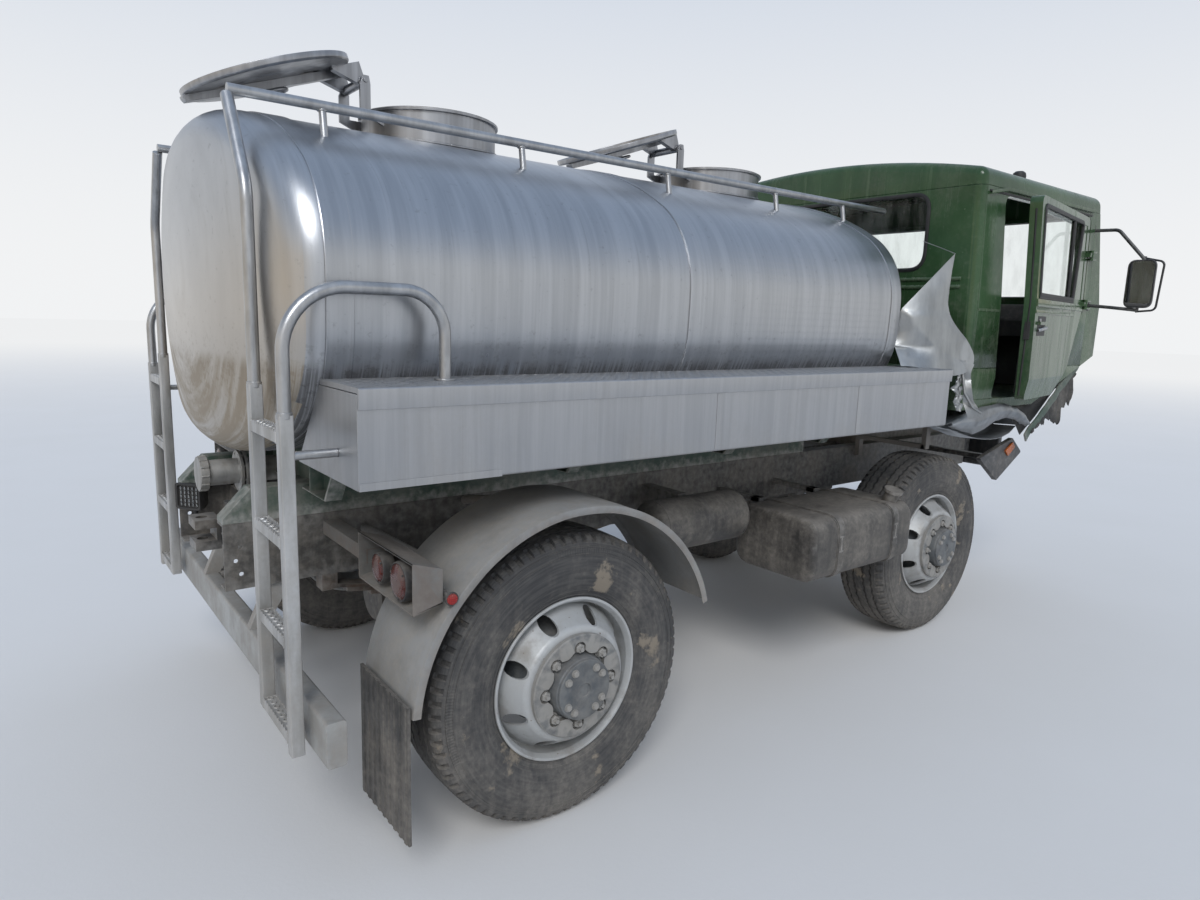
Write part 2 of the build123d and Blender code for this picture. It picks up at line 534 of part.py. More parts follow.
# Hinge straps on the door's front post, two for each hinge, with the pin between them
DOOR_HINGES = ((1935, 1118), (2240, 1108))
for z, skin_y in DOOR_HINGES:
    strap = rod((DOOR_HINGE_X, -DOOR_HINGE_Y, z), (DOOR_HINGE_X, -DOOR_HINGE_Y, z + 60), 6)
    for low in (z, z + 46):
        strap += rod((DOOR_HINGE_X, -DOOR_HINGE_Y, low), (DOOR_HINGE_X, -DOOR_HINGE_Y, low + 14), 12)
        strap += block(DOOR_HINGE_X, 4110, -DOOR_HINGE_Y - 5, -skin_y, low, low + 14)
    sides += both_sides(strap)
save("cab_sides", Compound(children=list(sides.solids())))

# Windscreen and rear glass
glass_slab = (cab_front_cut(26) - cab_front_cut(20))
screen = glass_slab & window_yz(4000, 4500, 963, 2022, 2513, 80)
rear_glass = window_yz(2674, 2680, 798, 2117, 2513, 90)
save("cab_glass", Compound(children=list(screen.solids()) + list(rear_glass.solids())))

# Doors with their windows and glass, the right one standing ajar
door_skin = cab_outer - extrude(cab_outline(CAB_REAR_X, DOOR_THICKNESS, CAB_FLOOR_Z - 80), amount=2000,
                                dir=(1, 0, 0))
door_side = door_skin & door_shape(0)
window_cut = plate_xz(window_outline, -1400, 600)
glass_points = [(x + (2 if x < 3500 else -2), z + (2 if z < 2200 else -2)) for x, z in window_outline]
divider = plate_xz([(3700, 1960), (3724, 1960), (3724, DOOR_TOP_Z - 20), (3700, DOOR_TOP_Z - 20)], -1400, 600)
mid_skin = extrude(cab_outline(CAB_REAR_X, 20, CAB_FLOOR_Z), amount=2000, dir=(1, 0, 0))
mid_skin -= extrude(cab_outline(CAB_REAR_X, 26, CAB_FLOOR_Z), amount=2000, dir=(1, 0, 0))
door_glass = (mid_skin & plate_xz(glass_points, -1400, 500)) - divider
bar_skin = extrude(cab_outline(CAB_REAR_X, 12, CAB_FLOOR_Z), amount=2000, dir=(1, 0, 0))
bar_skin -= extrude(cab_outline(CAB_REAR_X, 34, CAB_FLOOR_Z), amount=2000, dir=(1, 0, 0))
door = door_side - window_cut + (bar_skin & divider)
door -= block(3050, 3170, -1130, -CAB_HALF_WIDTH + 22, 1800, 1860)
door += block(3040, 3180, -1134, -CAB_HALF_WIDTH, 1822, 1840)
for z, skin_y in DOOR_HINGES:
    door += block(3990, DOOR_HINGE_X, -DOOR_HINGE_Y - 5, -skin_y, z + 17, z + 43)
    door += rod((DOOR_HINGE_X, -DOOR_HINGE_Y, z + 17), (DOOR_HINGE_X, -DOOR_HINGE_Y, z + 43), 12)
    door -= rod((DOOR_HINGE_X, -DOOR_HINGE_Y, z), (DOOR_HINGE_X, -DOOR_HINGE_Y, z + 60), 7)
hinge_right = Axis((DOOR_HINGE_X, -DOOR_HINGE_Y, 0), (0, 0, 1))
save("door_right", door.rotate(hinge_right, DOOR_REST_ANGLE))
save("door_right_glass", Compound(children=list(door_glass.solids())).rotate(hinge_right, DOOR_REST_ANGLE))
save("door_left", mirror(door, about=Plane.XZ))
save("door_left_glass", Compound(children=list(mirror(door_glass, about=Plane.XZ).solids())))

# Inside the cab
FLOOR_TOP = CAB_FLOOR_Z + 60
dash = plate_xz([(3900, 1750), (4240, 1900), (4240, 1960), (3960, 1960), (3860, 1860)], -1000, 2000)
dash += block(4000, 4240, -60, 60, FLOOR_TOP, 1800)
save("dashboard", dash)
wheel_at = Pos(3700, 520, 1930) * Rot(0, -30, 0)
steering = wheel_at * (Torus(215, 15) + Cylinder(40, 30) + Box(400, 30, 12))
steering += rod((3710, 520, 1915), (3985, 520, FLOOR_TOP), 28)
steering = steering - dash - made["cab_floor"].moved(Pos(MIDDLE_X, 0, 0))
steering = max(steering.solids(), key=lambda s: s.volume)
save("steering_wheel", steering)
seats = None
for y in (-560, 520):
    base = block(2950, 3350, y - 200, y + 200, FLOOR_TOP, 1560)
    cushion = block(2900, 3420, y - 240, y + 240, 1560, 1680)
    back = plate_xz([(2760, 1700), (2880, 1680), (2850, 2280), (2740, 2280)], y - 230, 460)
    link = block(2860, 2960, y - 200, y + 200, 1600, 1700)
    seat = base + cushion + back + link
    seats = seat if seats is None else seats + seat
save("seats", seats)

# Front bumper, its right end torn away, with the lamps that are left
bumper = block(4240, 4390, -560, 1150, 790, 1060)
bumper -= block(4200, 4340, -600, 1100, 830, 1020)
bumper += block(4150, 4250, -390, -330, 850, 1000) + block(4150, 4250, 330, 390, 850, 1000)
lamp_hole = rod((4300, 860, 925), (4500, 860, 925), 92)
bumper -= lamp_hole
save("bumper", bumper)
save("headlamps", rod((4342, 860, 925), (4384, 860, 925), 90))

# Front mudguards: the left one whole, the right one crumpled upwards
left_ring = Cylinder(650, 380) - Cylinder(645, 400)
left_guard = Pos(WHEELBASE, FRONT_WHEEL_Y + 10, 560) * Rot(90, 0, 0) * left_ring
left_guard -= block(1800, 4000, 400, 1300, -200, 700)
left_guard += block(WHEELBASE - 20, WHEELBASE + 20, RAIL_OUTER_Y, 640, 1010, 1035)
left_guard += block(WHEELBASE - 20, WHEELBASE + 20, 600, 640, 1010, 1206)
left_guard = max(left_guard.solids(), key=lambda s: s.volume)
crumple = [(2560, 1215), (2760, 1255), (2900, 1305), (3060, 1290), (3200, 1328), (3330, 1315)]
under = [(x - 4, z - 7) for x, z in reversed(crumple)]
right_guard = plate_xz(crumple + under, -1110, 420)
right_guard += block(2760, 2800, -430, -RAIL_OUTER_Y, 980, 1110)
right_guard += block(2760, 2800, -740, -430, 1085, 1110)
right_guard += block(2760, 2800, -740, -700, 1085, 1252)
save("front_mudguards", Compound(children=list(left_guard.solids()) + list(right_guard.solids())))

# The bumper's broken right end, hanging by its bracket
end_plate = plate_xz([(3190, 1010), (3600, 1110), (3740, 1010), (3440, 850)], -985, 30)
end_plate += block(3500, 3560, -960, -RAIL_OUTER_Y, 960, 990)
save("bumper_end", end_plate)

# Torn cladding sheet standing off the front of the right side box
torn = [(2060, 1590), (2080, 1840), (2290, 1990), (2480, 2180), (2440, 2080), (2440, 1960),
        (2560, 1790), (2620, 1720), (2570, 1600), (2480, 1420), (2400, 1420), (2330, 1590)]
sheet = plate_xz(torn, -1170, 5)
sheet = sheet - side_box
sheet = max(sheet.solids(), key=lambda s: s.volume)
save("torn_sheet", sheet)

# Mirrors on arms from the front corners
upper = bent_tube([(4120, -1010, 2440), (4130, -1240, 2430), (4150, -1400, 2240)], 11, 60)
lower = rod((4120, -1095, 1960), (4150, -1380, 1930), 11)
head = block(4130, 4165, -1480, -1310, 1940, 2250)
head = fillet(head.edges().filter_by(Axis.X), 30)
guard_loop = bent_tube([(4150, -1400, 2260), (4150, -1520, 2230), (4150, -1500, 1930),
                        (4150, -1380, 1920)], 7, 30)
mirrors = upper + lower + head + guard_loop
mirrors = mirrors - cab_front
mirrors = mirrors - sides
mirrors = max(mirrors.solids(), key=lambda s: s.volume)
save("mirrors", both_sides(mirrors))


# Wheels: tyre, rim with its hand holes, and hub
def tyre_profile(centre):
    """Half section of a tyre as (radius, y), sidewalls bulged."""
    half = TYRE_WIDTH / 2
    right = [(288, 112), (305, 128), (350, 150), (400, half), (455, half - 2), (500, half - 12),
             (520, half - 26), (TYRE_RADIUS, half - 40)]
    left = [(r, -y) for r, y in reversed(right)]
    return [(r, centre + y) for r, y in right + left]


def rim_profile(centre):
    """Half section of the rim: barrel, lips and a disc that bulges outward."""
    out = 135
    return [(r, centre + y) for r, y in [
        (RIM_LIP_RADIUS, out), (RIM_LIP_RADIUS, out - 8), (286, out - 12), (284, out - 20), (284, -out + 20),
        (286, -out + 12), (RIM_LIP_RADIUS, -out + 8), (RIM_LIP_RADIUS, -out), (288, -out), (274, -out + 12),
        (274, 30), (255, 75), (205, out + 28), (120, out + 30), (120, out + 42), (210, out + 40),
        (262, 88), (274, 60), (274, out - 12), (288, out)]]


def hub_profile(centre, back):
    """Half section of the hub and drum as (radius, y)."""
    out = 135
    return [(r, centre + y) for r, y in [
        (0, back), (200, back), (200, 20), (150, out + 26), (118, out + 26), (118, out + 43),
        (168, out + 43), (168, out + 62), (112, out + 70), (108, out + 98), (0, out + 98)]]


HOLES = 8
for name, x, wheel_y, back, side in (("rear_right", 0, REAR_WHEEL_Y, -125, -1),
                                     ("rear_left", 0, REAR_WHEEL_Y, -125, 1),
                                     ("front_right", WHEELBASE, FRONT_WHEEL_Y, 30, -1),
                                     ("front_left", WHEELBASE, FRONT_WHEEL_Y, 30, 1)):
    save("tyre_" + name, turned(tyre_profile(wheel_y), x, side))
    rim = turned(rim_profile(wheel_y), x, side)
    for i in range(HOLES):
        angle = 2 * pi * (i + 0.5) / HOLES
        hx, hz = x + 232 * cos(angle), TYRE_RADIUS + 232 * sin(angle)
        rim -= rod((hx, side * (wheel_y + 60), hz), (hx, side * (wheel_y + 240), hz), 27)
    hub = turned(hub_profile(wheel_y, back), x, side)
    hub = hub - rim
    save("rim_" + name, rim)
    save("hub_" + name, max(hub.solids(), key=lambda s: s.volume))

for name, shape in made.items():
    export_step(shape, "parts/" + name + ".step")
    print(name, round(shape.volume / 1e6, 2))
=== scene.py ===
from math import asin, atan2, cos, hypot, pi, radians, sin, sqrt

import bmesh
import bpy
from mathutils import Matrix, Vector, noise


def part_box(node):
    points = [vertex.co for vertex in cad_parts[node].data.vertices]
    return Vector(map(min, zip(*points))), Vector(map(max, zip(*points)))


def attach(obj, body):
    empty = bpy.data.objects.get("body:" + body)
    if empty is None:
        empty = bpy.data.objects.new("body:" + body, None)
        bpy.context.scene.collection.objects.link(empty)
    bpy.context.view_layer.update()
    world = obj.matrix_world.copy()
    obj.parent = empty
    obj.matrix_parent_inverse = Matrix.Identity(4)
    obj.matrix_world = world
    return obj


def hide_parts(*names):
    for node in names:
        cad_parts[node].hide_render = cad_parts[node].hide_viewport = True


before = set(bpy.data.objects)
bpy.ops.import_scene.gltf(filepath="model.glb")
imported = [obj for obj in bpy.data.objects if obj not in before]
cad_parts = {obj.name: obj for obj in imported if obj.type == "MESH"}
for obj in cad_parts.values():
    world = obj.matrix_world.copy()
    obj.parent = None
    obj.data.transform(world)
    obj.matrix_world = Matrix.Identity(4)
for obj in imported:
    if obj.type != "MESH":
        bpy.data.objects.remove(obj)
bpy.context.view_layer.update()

# The lorry stands on a pale matt floor that runs out into a pale backdrop. The camera
# looks from the rear right corner at a standing person's eye height, and soft light comes
# from a bright sky all round and from a broad lamp high up behind the right side.
rear_low, rear_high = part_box("tyre_rear_right")
front_low, front_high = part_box("tyre_front_right")
rear_x = (rear_low.x + rear_high.x) / 2
front_x = (front_low.x + front_high.x) / 2
wheel_radius = (rear_high.z - rear_low.z) / 2

CAMERA_PLACE = (rear_x - 1.521, -3.249, 1.789)
CAMERA_YAW, CAMERA_PITCH, CAMERA_ROLL = 51.93, 9.655, 1.79
CAMERA_LENS = 23.40
LAMP_POWER = 1.6
LAMP_TURN = (48, -8, -32)
camera_data = bpy.data.cameras.new("camera")
camera_data.sensor_width = 36.0
camera_data.lens = CAMERA_LENS
camera_data.clip_end = 200.0
camera = bpy.data.objects.new("camera", camera_data)
camera.matrix_world = (
    Matrix.Translation(CAMERA_PLACE)
    @ Matrix.Rotation(radians(CAMERA_YAW - 90), 4, "Z")
    @ Matrix.Rotation(radians(90 - CAMERA_PITCH), 4, "X")
    @ Matrix.Rotation(radians(CAMERA_ROLL), 4, "Z")
)
bpy.context.scene.collection.objects.link(camera)
bpy.context.scene.camera = camera
bpy.context.scene.view_settings.view_transform = "Standard"

lamp_data = bpy.data.lights.new("broad_lamp", "SUN")
lamp_data.energy = LAMP_POWER
lamp_data.angle = radians(25)
lamp = bpy.data.objects.new("broad_lamp", lamp_data)
lamp.rotation_euler = [radians(angle) for angle in LAMP_TURN]
bpy.context.scene.collection.objects.link(lamp)


def feed(tree, socket, value):
    """Joins a socket to another one, or sets its plain value."""
    if isinstance(value, bpy.types.NodeSocket):
        tree.links.new(value, socket)
    elif value is not None:
        socket.default_value = value


def feed_all(tree, node, **inputs):
    """Feeds a node's inputs, given by name with _ for a space."""
    for key, value in inputs.items():
        feed(tree, node.inputs[key.replace("_", " ")], value)
    return node


def grow(tree, kind, settings=None, **inputs):
    """A node with its settings and its inputs."""
    made = tree.nodes.new(kind)
    for key, value in (settings or {}).items():
        setattr(made, key, value)
    return feed_all(tree, made, **inputs)


def shade(tree, kind, settings=None, **inputs):
    """A shader node with its settings and its inputs."""
    return grow(tree, "ShaderNode" + kind, settings, **inputs)


def calc(tree, operation, first, second=0.0, clamp=False):
    """One sum on two values."""
    made = shade(tree, "Math", {"operation": operation, "use_clamp": clamp})
    feed(tree, made.inputs[0], first)
    feed(tree, made.inputs[1], second)
    return made.outputs[0]


def plus(tree, first, second, clamp=False):
    """The sum of two values."""
    return calc(tree, "ADD", first, second, clamp)


def minus(tree, first, second):
    """The first value less the second."""
    return calc(tree, "SUBTRACT", first, second)


def times(tree, first, second, clamp=False):
    """The product of two values."""
    return calc(tree, "MULTIPLY", first, second, clamp)


def add_share(tree, base, value, share):
    """A value with a share of another one added to it."""
    return plus(tree, base, times(tree, value, share))


def radial(tree, u, v):
    """The distance of a point (u, v) from the middle."""
    return calc(tree, "SQRT", plus(tree, calc(tree, "POWER", u, 2.0), calc(tree, "POWER", v, 2.0)))


def rise(tree, value, low, high, to_low=0.0, to_high=1.0):
    """A value that goes smoothly from one level to another between low and high."""
    made = shade(tree, "MapRange", {"interpolation_type": "SMOOTHSTEP"}, Value=value, From_Min=low,
                 From_Max=high, To_Min=to_low, To_Max=to_high)
    return made.outputs["Result"]


def blend_colour(tree, factor, first, second):
    """Two colours mixed by a factor."""
    made = shade(tree, "Mix", {"data_type": "RGBA"}, Factor=factor)
    feed(tree, made.inputs[6], first)
    feed(tree, made.inputs[7], second)
    return made.outputs[2]


def stained(tree, tint, pattern, low, high, share, colour):
    """A tint with another colour laid on it where a pattern is high."""
    return blend_colour(tree, times(tree, rise(tree, pattern, low, high), share), tint, colour)


HORIZON = (0.90, 0.91, 0.92, 1)
ZENITH = (0.42, 0.52, 0.69, 1)
LOW_SUN = (0.95, 0.78, 0.55, 1)
bpy.context.scene.world = bpy.data.worlds.new("sky")
bpy.context.scene.world.use_nodes = True
sky = bpy.context.scene.world.node_tree
looking = shade(sky, "SeparateXYZ", Vector=shade(sky, "TexCoord").outputs["Generated"])
above = blend_colour(sky, rise(sky, looking.outputs["Z"], 0.02, 0.75), HORIZON, ZENITH)
sunlit = times(sky, rise(sky, looking.outputs["X"], -0.45, -0.85),
              rise(sky, looking.outputs["Z"], 0.26, 0.04))
unseen = minus(sky, 1.0, shade(sky, "LightPath").outputs["Is Camera Ray"])
feed_all(sky, sky.nodes["Background"], Strength=0.98,
         Color=blend_colour(sky, times(sky, sunlit, unseen), above, LOW_SUN))


def place_on(tree, stretch=(1, 1, 1)):
    """The surface's own place, stretched for a pattern."""
    return shade(tree, "Mapping", Vector=shade(tree, "TexCoord").outputs["Object"], Scale=stretch).outputs[0]


def speckle(tree, vector, scale, detail=4.0, roughness=0.55):
    """A soft random pattern from 0 to 1."""
    made = shade(tree, "TexNoise", Vector=vector, Scale=scale, Detail=detail, Roughness=roughness)
    return made.outputs["Fac"]


def new_material(name):
    """A material with its shader, ready for a pattern."""
    made = bpy.data.materials.new(name)
    made.use_nodes = True
    return made, made.node_tree, made.node_tree.nodes["Principled BSDF"]


def bump_from(tree, shader, height, distance, strength=1.0):
    """A surface relief that feeds the shader's normal."""
    bump = shade(tree, "Bump", Height=height, Distance=distance, Strength=strength)
    feed(tree, shader.inputs["Normal"], bump.outputs["Normal"])


def new_object(name, mesh, *materials):
    """An object for a finished mesh, at the origin."""
    made = bpy.data.objects.new(name, mesh)
    for material in materials:
        mesh.materials.append(material)
    bpy.context.scene.collection.objects.link(made)
    return made


def mesh_of(bm, name, smooth_below=35):
    """A mesh of a bmesh, smooth but for edges sharper than an angle in degrees."""
    mesh = bpy.data.meshes.new(name)
    bm.to_mesh(mesh)
    bm.free()
    mesh.shade_smooth()
    mesh.set_sharp_from_angle(angle=radians(smooth_below))
    return mesh


def mix_shaders(tree, share, first, second):
    """Two shaders mixed by a share and joined to the material's surface."""
    mixed = shade(tree, "MixShader", Fac=share)
    feed(tree, mixed.inputs[1], first)
    feed(tree, mixed.inputs[2], second)
    feed(tree, tree.nodes["Material Output"].inputs["Surface"], mixed.outputs["Shader"])


FLOOR_COLOURS = (0.66, 0.65, 0.63, 1), (0.70, 0.69, 0.68, 1)
FLOOR_RADIUS = 90.0
floor_finish, tree, shader = new_material("pale_floor")
grain = speckle(tree, place_on(tree), 0.9, 5)
feed_all(tree, shader, Base_Color=blend_colour(tree, grain, *FLOOR_COLOURS), Roughness=0.9)
bump_from(tree, shader, speckle(tree, place_on(tree), 60.0), 0.002, 0.3)
floor_place = shade(tree, "SeparateXYZ", Vector=place_on(tree))
far = radial(tree, floor_place.outputs["X"], floor_place.outputs["Y"])
haze = shade(tree, "Emission", Color=HORIZON, Strength=0.95)
mix_shaders(tree, rise(tree, far, 6.0, 40.0), shader.outputs["BSDF"], haze.outputs["Emission"])
bm = bmesh.new()
bmesh.ops.create_circle(bm, cap_ends=True, segments=64, radius=FLOOR_RADIUS)
new_object("floor", mesh_of(bm, "floor"), floor_finish)

# The frame is two pressed-steel channels with cross members, painted black-brown
# and covered with road dust. Its corners are eased as rolled steel is. The cast axles,
# springs and shafts below it are made the same way, from the pieces of the frame model.


def eased(node, name, width=0.002, segments=2, sharp=28):
    """A copy of a piece of the frame model with its flat faces joined and its edges rounded."""
    bm = bmesh.new()
    bm.from_mesh(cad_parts[node].data)
    bmesh.ops.remove_doubles(bm, verts=bm.verts, dist=2e-5)
    bmesh.ops.dissolve_limit(bm, angle_limit=radians(1.0), verts=bm.verts, edges=bm.edges)
    made = new_object(name, mesh_of(bm, name, sharp))
    bevel = made.modifiers.new("eased", "BEVEL")
    bevel.width = width
    bevel.segments = segments
    bevel.limit_method = "ANGLE"
    bevel.angle_limit = radians(sharp)
    bevel.harden_normals = True
    bevel.use_clamp_overlap = True
    return made


def coated(piece, material):
    """A piece with one material in place of what it had."""
    piece.data.materials.clear()
    piece.data.materials.append(material)
    return piece


def fit(piece, material, body, slot, *nodes):
    """Gives a finished piece its material and body, and hides what it stands for."""
    if material:
        coated(piece, material)
    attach(piece, body)
    if nodes:
        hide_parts(*nodes)
    return piece


def new_group(name, inputs, outputs):
    """A shader group: its inputs as name and start value, its outputs as name and kind."""
    group = bpy.data.node_groups.new(name, "ShaderNodeTree")
    kinds = {float: "NodeSocketFloat", tuple: "NodeSocketColor"}
    for key, value in inputs.items():
        socket = group.interface.new_socket(name=key, in_out="INPUT", socket_type=kinds[type(value)])
        socket.default_value = value
    for key, kind in outputs.items():
        group.interface.new_socket(name=key, in_out="OUTPUT", socket_type="NodeSocket" + kind)
    return group, group.nodes.new("NodeGroupInput"), group.nodes.new("NodeGroupOutput")


def use_group(tree, group, **inputs):
    """A shader group placed in a material, with its own values."""
    return shade(tree, "Group", {"node_tree": group}, **inputs)


# Road dust lies thick near the ground and on what faces up, and thin in patches elsewhere
ROAD_DUST = (0.20, 0.18, 0.155, 1)
LIGHT_DUST = (0.33, 0.30, 0.26, 1)
dust_inputs = {"Paint": (0.5, 0.5, 0.5, 1), "Dust": ROAD_DUST, "Amount": 0.5, "Low": 0.2, "High": 1.6,
               "Clean Roughness": 0.4}
road_dust, inside, outside = new_group(
    "road_dust", dust_inputs, {"Color": "Color", "Roughness": "Float", "Mask": "Float", "Relief": "Float"})
up = shade(road_dust, "SeparateXYZ", Vector=shade(road_dust, "NewGeometry").outputs["Normal"])
lies = rise(road_dust, up.outputs["Z"], 0.2, 0.95)
height = shade(road_dust, "SeparateXYZ", Vector=place_on(road_dust)).outputs["Z"]
low_down = rise(road_dust, height, inside.outputs["High"], inside.outputs["Low"])
patches = speckle(road_dust, place_on(road_dust), 3.0, 7, 0.62)
fine = speckle(road_dust, place_on(road_dust), 46.0, 5, 0.7)
runs = speckle(road_dust, place_on(road_dust, (14, 14, 1.1)), 1.6, 5, 0.6)
cover = add_share(road_dust, times(road_dust, low_down, 0.45), lies, 0.35)
for pattern, level, share in ((patches, 0.42, 1.5), (runs, 0.5, 0.8), (fine, 0.5, 0.7)):
    cover = add_share(road_dust, cover, minus(road_dust, pattern, level), share)
mask = times(road_dust, rise(road_dust, cover, 0.0, 1.0), inside.outputs["Amount"], True)
dust_shade = blend_colour(road_dust, fine, inside.outputs["Dust"], LIGHT_DUST)
clean = times(road_dust, inside.outputs["Clean Roughness"], minus(road_dust, 1.0, mask))
feed_all(road_dust, outside, Color=blend_colour(road_dust, mask, inside.outputs["Paint"], dust_shade),
         Roughness=add_share(road_dust, clean, mask, 0.9), Mask=mask, Relief=times(road_dust, fine, mask))

# Worn edges show the bare, brighter metal where the paint has rubbed off
wear_inputs = {"Paint": (0.5, 0.5, 0.5, 1), "Metal": (0.45, 0.44, 0.42, 1), "Amount": 0.5}
edge_wear, inside, outside = new_group("edge_wear", wear_inputs, {"Color": "Color"})
corner = shade(edge_wear, "NewGeometry").outputs["Pointiness"]
ragged = minus(edge_wear, speckle(edge_wear, place_on(edge_wear), 30.0, 5), 0.5)
rubbed = rise(edge_wear, add_share(edge_wear, corner, ragged, 0.12), 0.53, 0.60)
rubbed = times(edge_wear, rubbed, inside.outputs["Amount"], True)
feed_all(edge_wear, outside,
         Color=blend_colour(edge_wear, rubbed, inside.outputs["Paint"], inside.outputs["Metal"]))


def weathered(name, paint, second, dust=0.6, roughness=0.45, wear=0.4, metal=(0.42, 0.41, 0.39), low=0.2,
              high=1.6, relief=0.0012, dust_colour=(0.130, 0.120, 0.108), metallic=0.0, mottle=6.0):
    """Painted or cast metal with two tones, rubbed edges and road dust."""
    made, tree, shader = new_material(name)
    tone = rise(tree, speckle(tree, place_on(tree), mottle, 6, 0.6), 0.35, 0.7)
    base = blend_colour(tree, tone, (*paint, 1), (*second, 1))
    worn = use_group(tree, edge_wear, Paint=base, Metal=(*metal, 1), Amount=wear)
    dusty = use_group(tree, road_dust, Paint=worn.outputs["Color"], Dust=(*dust_colour, 1), Amount=dust,
                      Low=low, High=high, Clean_Roughness=roughness)
    feed_all(tree, shader, Base_Color=dusty.outputs["Color"], Roughness=dusty.outputs["Roughness"],
             Metallic=metallic)
    bump_from(tree, shader, add_share(tree, dusty.outputs["Relief"], tone, 0.25), relief, 0.8)
    return made


frame_paint = weathered("frame_paint", (0.035, 0.034, 0.032), (0.065, 0.058, 0.050), dust=0.8)
cast_iron = weathered("cast_iron", (0.040, 0.038, 0.036), (0.085, 0.070, 0.056), dust=0.85, relief=0.002)
spring_steel = weathered("spring_steel", (0.045, 0.040, 0.036), (0.12, 0.070, 0.040), dust=0.8)
frame_parts = (
    # node, piece, material, body, slot, edge
    ("frame_rails", "chassis_frame", frame_paint, "chassis", "frame_paint", 0.003),
    ("rear_axle", "rear_axle_casting", cast_iron, "chassis", "axle_iron", 0.004),
    ("front_axle", "front_axle_casting", cast_iron, "chassis", "axle_iron", 0.004),
    ("knuckle_right", "right_swivel", cast_iron, "steering_knuckle_right", "axle_iron", 0.002),
    ("knuckle_left", "left_swivel", cast_iron, "steering_knuckle_left", "axle_iron", 0.002),
    ("leaf_springs", "spring_leaves", spring_steel, "chassis", "spring_steel", 0.002),
    ("driveline", "gearbox_and_shafts", cast_iron, "chassis", "axle_iron", 0.004),
    ("engine_block", "engine", cast_iron, "chassis", "axle_iron", 0.012),
    ("tow_coupling", "tow_jaw", cast_iron, "chassis", "axle_iron", 0.004),
)
for node, name, material, body, slot, edge in frame_parts:
    fit(eased(node, name, edge), material, body, slot, node)

# Each tyre is a tubeless lorry tyre with ribs parted by zigzag grooves and with notched
# shoulders. Its sidewall has moulded rings and carries dried mud. It is turned about the
# axle, with the notches cut step by step round the shoulder.


def turns(count, first=0.0):
    """Angles that part a full turn evenly."""
    return [2 * pi * (k + first) / count for k in range(count)]


def rounded_path(points, closed=False, steps=4):
    """A path of (u, v) or (u, v, radius) points with each corner rounded by its radius."""
    made = []
    count = len(points)
    for i, point in enumerate(points):
        here = Vector(point[:2])
        radius = point[2] if len(point) > 2 else 0.0
        if radius == 0.0 or (not closed and i in (0, count - 1)):
            made.append(tuple(here))
            continue
        back = Vector(points[i - 1][:2]) - here
        ahead = Vector(points[(i + 1) % count][:2]) - here
        half = back.angle(ahead) / 2
        reach = min(radius / max(sin(half) / cos(half), 1e-4), 0.49 * back.length, 0.49 * ahead.length)
        start, end = here + back.normalized() * reach, here + ahead.normalized() * reach
        for k in range(steps + 1):
            t = k / steps
            made.append(tuple(start * (1 - t) ** 2 + here * 2 * t * (1 - t) + end * t ** 2))
    return made


def spun(name, profile, x, side, steps=96, closed=False, sharp=35):
    """A path of (radius, outward y) turned about the axle at x, with its own UV map."""
    bm = bmesh.new()
    uv = bm.loops.layers.uv.new("round")
    rings = [[bm.verts.new((x + r * cos(angle), side * y, wheel_radius + r * sin(angle))) for r, y in profile]
             for angle in turns(steps)]
    length = [0.0]
    for (r0, y0), (r1, y1) in zip(profile, profile[1:] + profile[:1]):
        length.append(length[-1] + hypot(r1 - r0, y1 - y0))
    last = len(profile) if closed else len(profile) - 1
    for k in range(steps):
        here, after = rings[k], rings[(k + 1) % steps]
        for j in range(last):
            m = (j + 1) % len(profile)
            face = bm.faces.new((here[j], here[m], after[m], after[j]))
            corners = ((k, length[j]), (k, length[j + 1]), (k + 1, length[j + 1]), (k + 1, length[j]))
            for loop, (turn, along) in zip(face.loops, corners):
                loop[uv].uv = (turn / steps, along)
    bmesh.ops.remove_doubles(bm, verts=bm.verts, dist=1e-6)
    bmesh.ops.recalc_face_normals(bm, faces=bm.faces)
    return new_object(name, mesh_of(bm, name, sharp))


TREAD_PITCHES = 72
GROOVE_Y = (-0.078, -0.030, 0.030, 0.078)
GROOVE_DEPTH = 0.013
SIDEWALL = [
    # radius, y from the middle plane
    (0.2885, 0.110), (0.296, 0.124), (0.3035, 0.1275), (0.3045, 0.1300), (0.3075, 0.1300), (0.3085, 0.1290),
    (0.322, 0.1365), (0.3225, 0.1380), (0.3250, 0.1390), (0.3260, 0.1385), (0.345, 0.1465), (0.370, 0.1525),
    (0.400, 0.1555), (0.430, 0.1550), (0.456, 0.1515), (0.4565, 0.1530), (0.4600, 0.1525), (0.4605, 0.1505),
    (0.478, 0.1465), (0.4785, 0.1485), (0.4840, 0.1470), (0.4845, 0.1445)]
SHOULDER = [
    # radius, y, how much of the notch bites here
    (0.4960, 0.1405, 0.0), (0.5075, 0.1345, 0.7),
    (0.5165, 0.1265, 1.0), (0.5220, 0.1150, 1.0), (0.5235, 0.1040, 0.0)]
NOTCH = (0.010, 0.006)
GROOVE_HALF = (0.0065, 0.0035)
CROWN_FALL = 0.40
TREAD_SWAY = 0.004


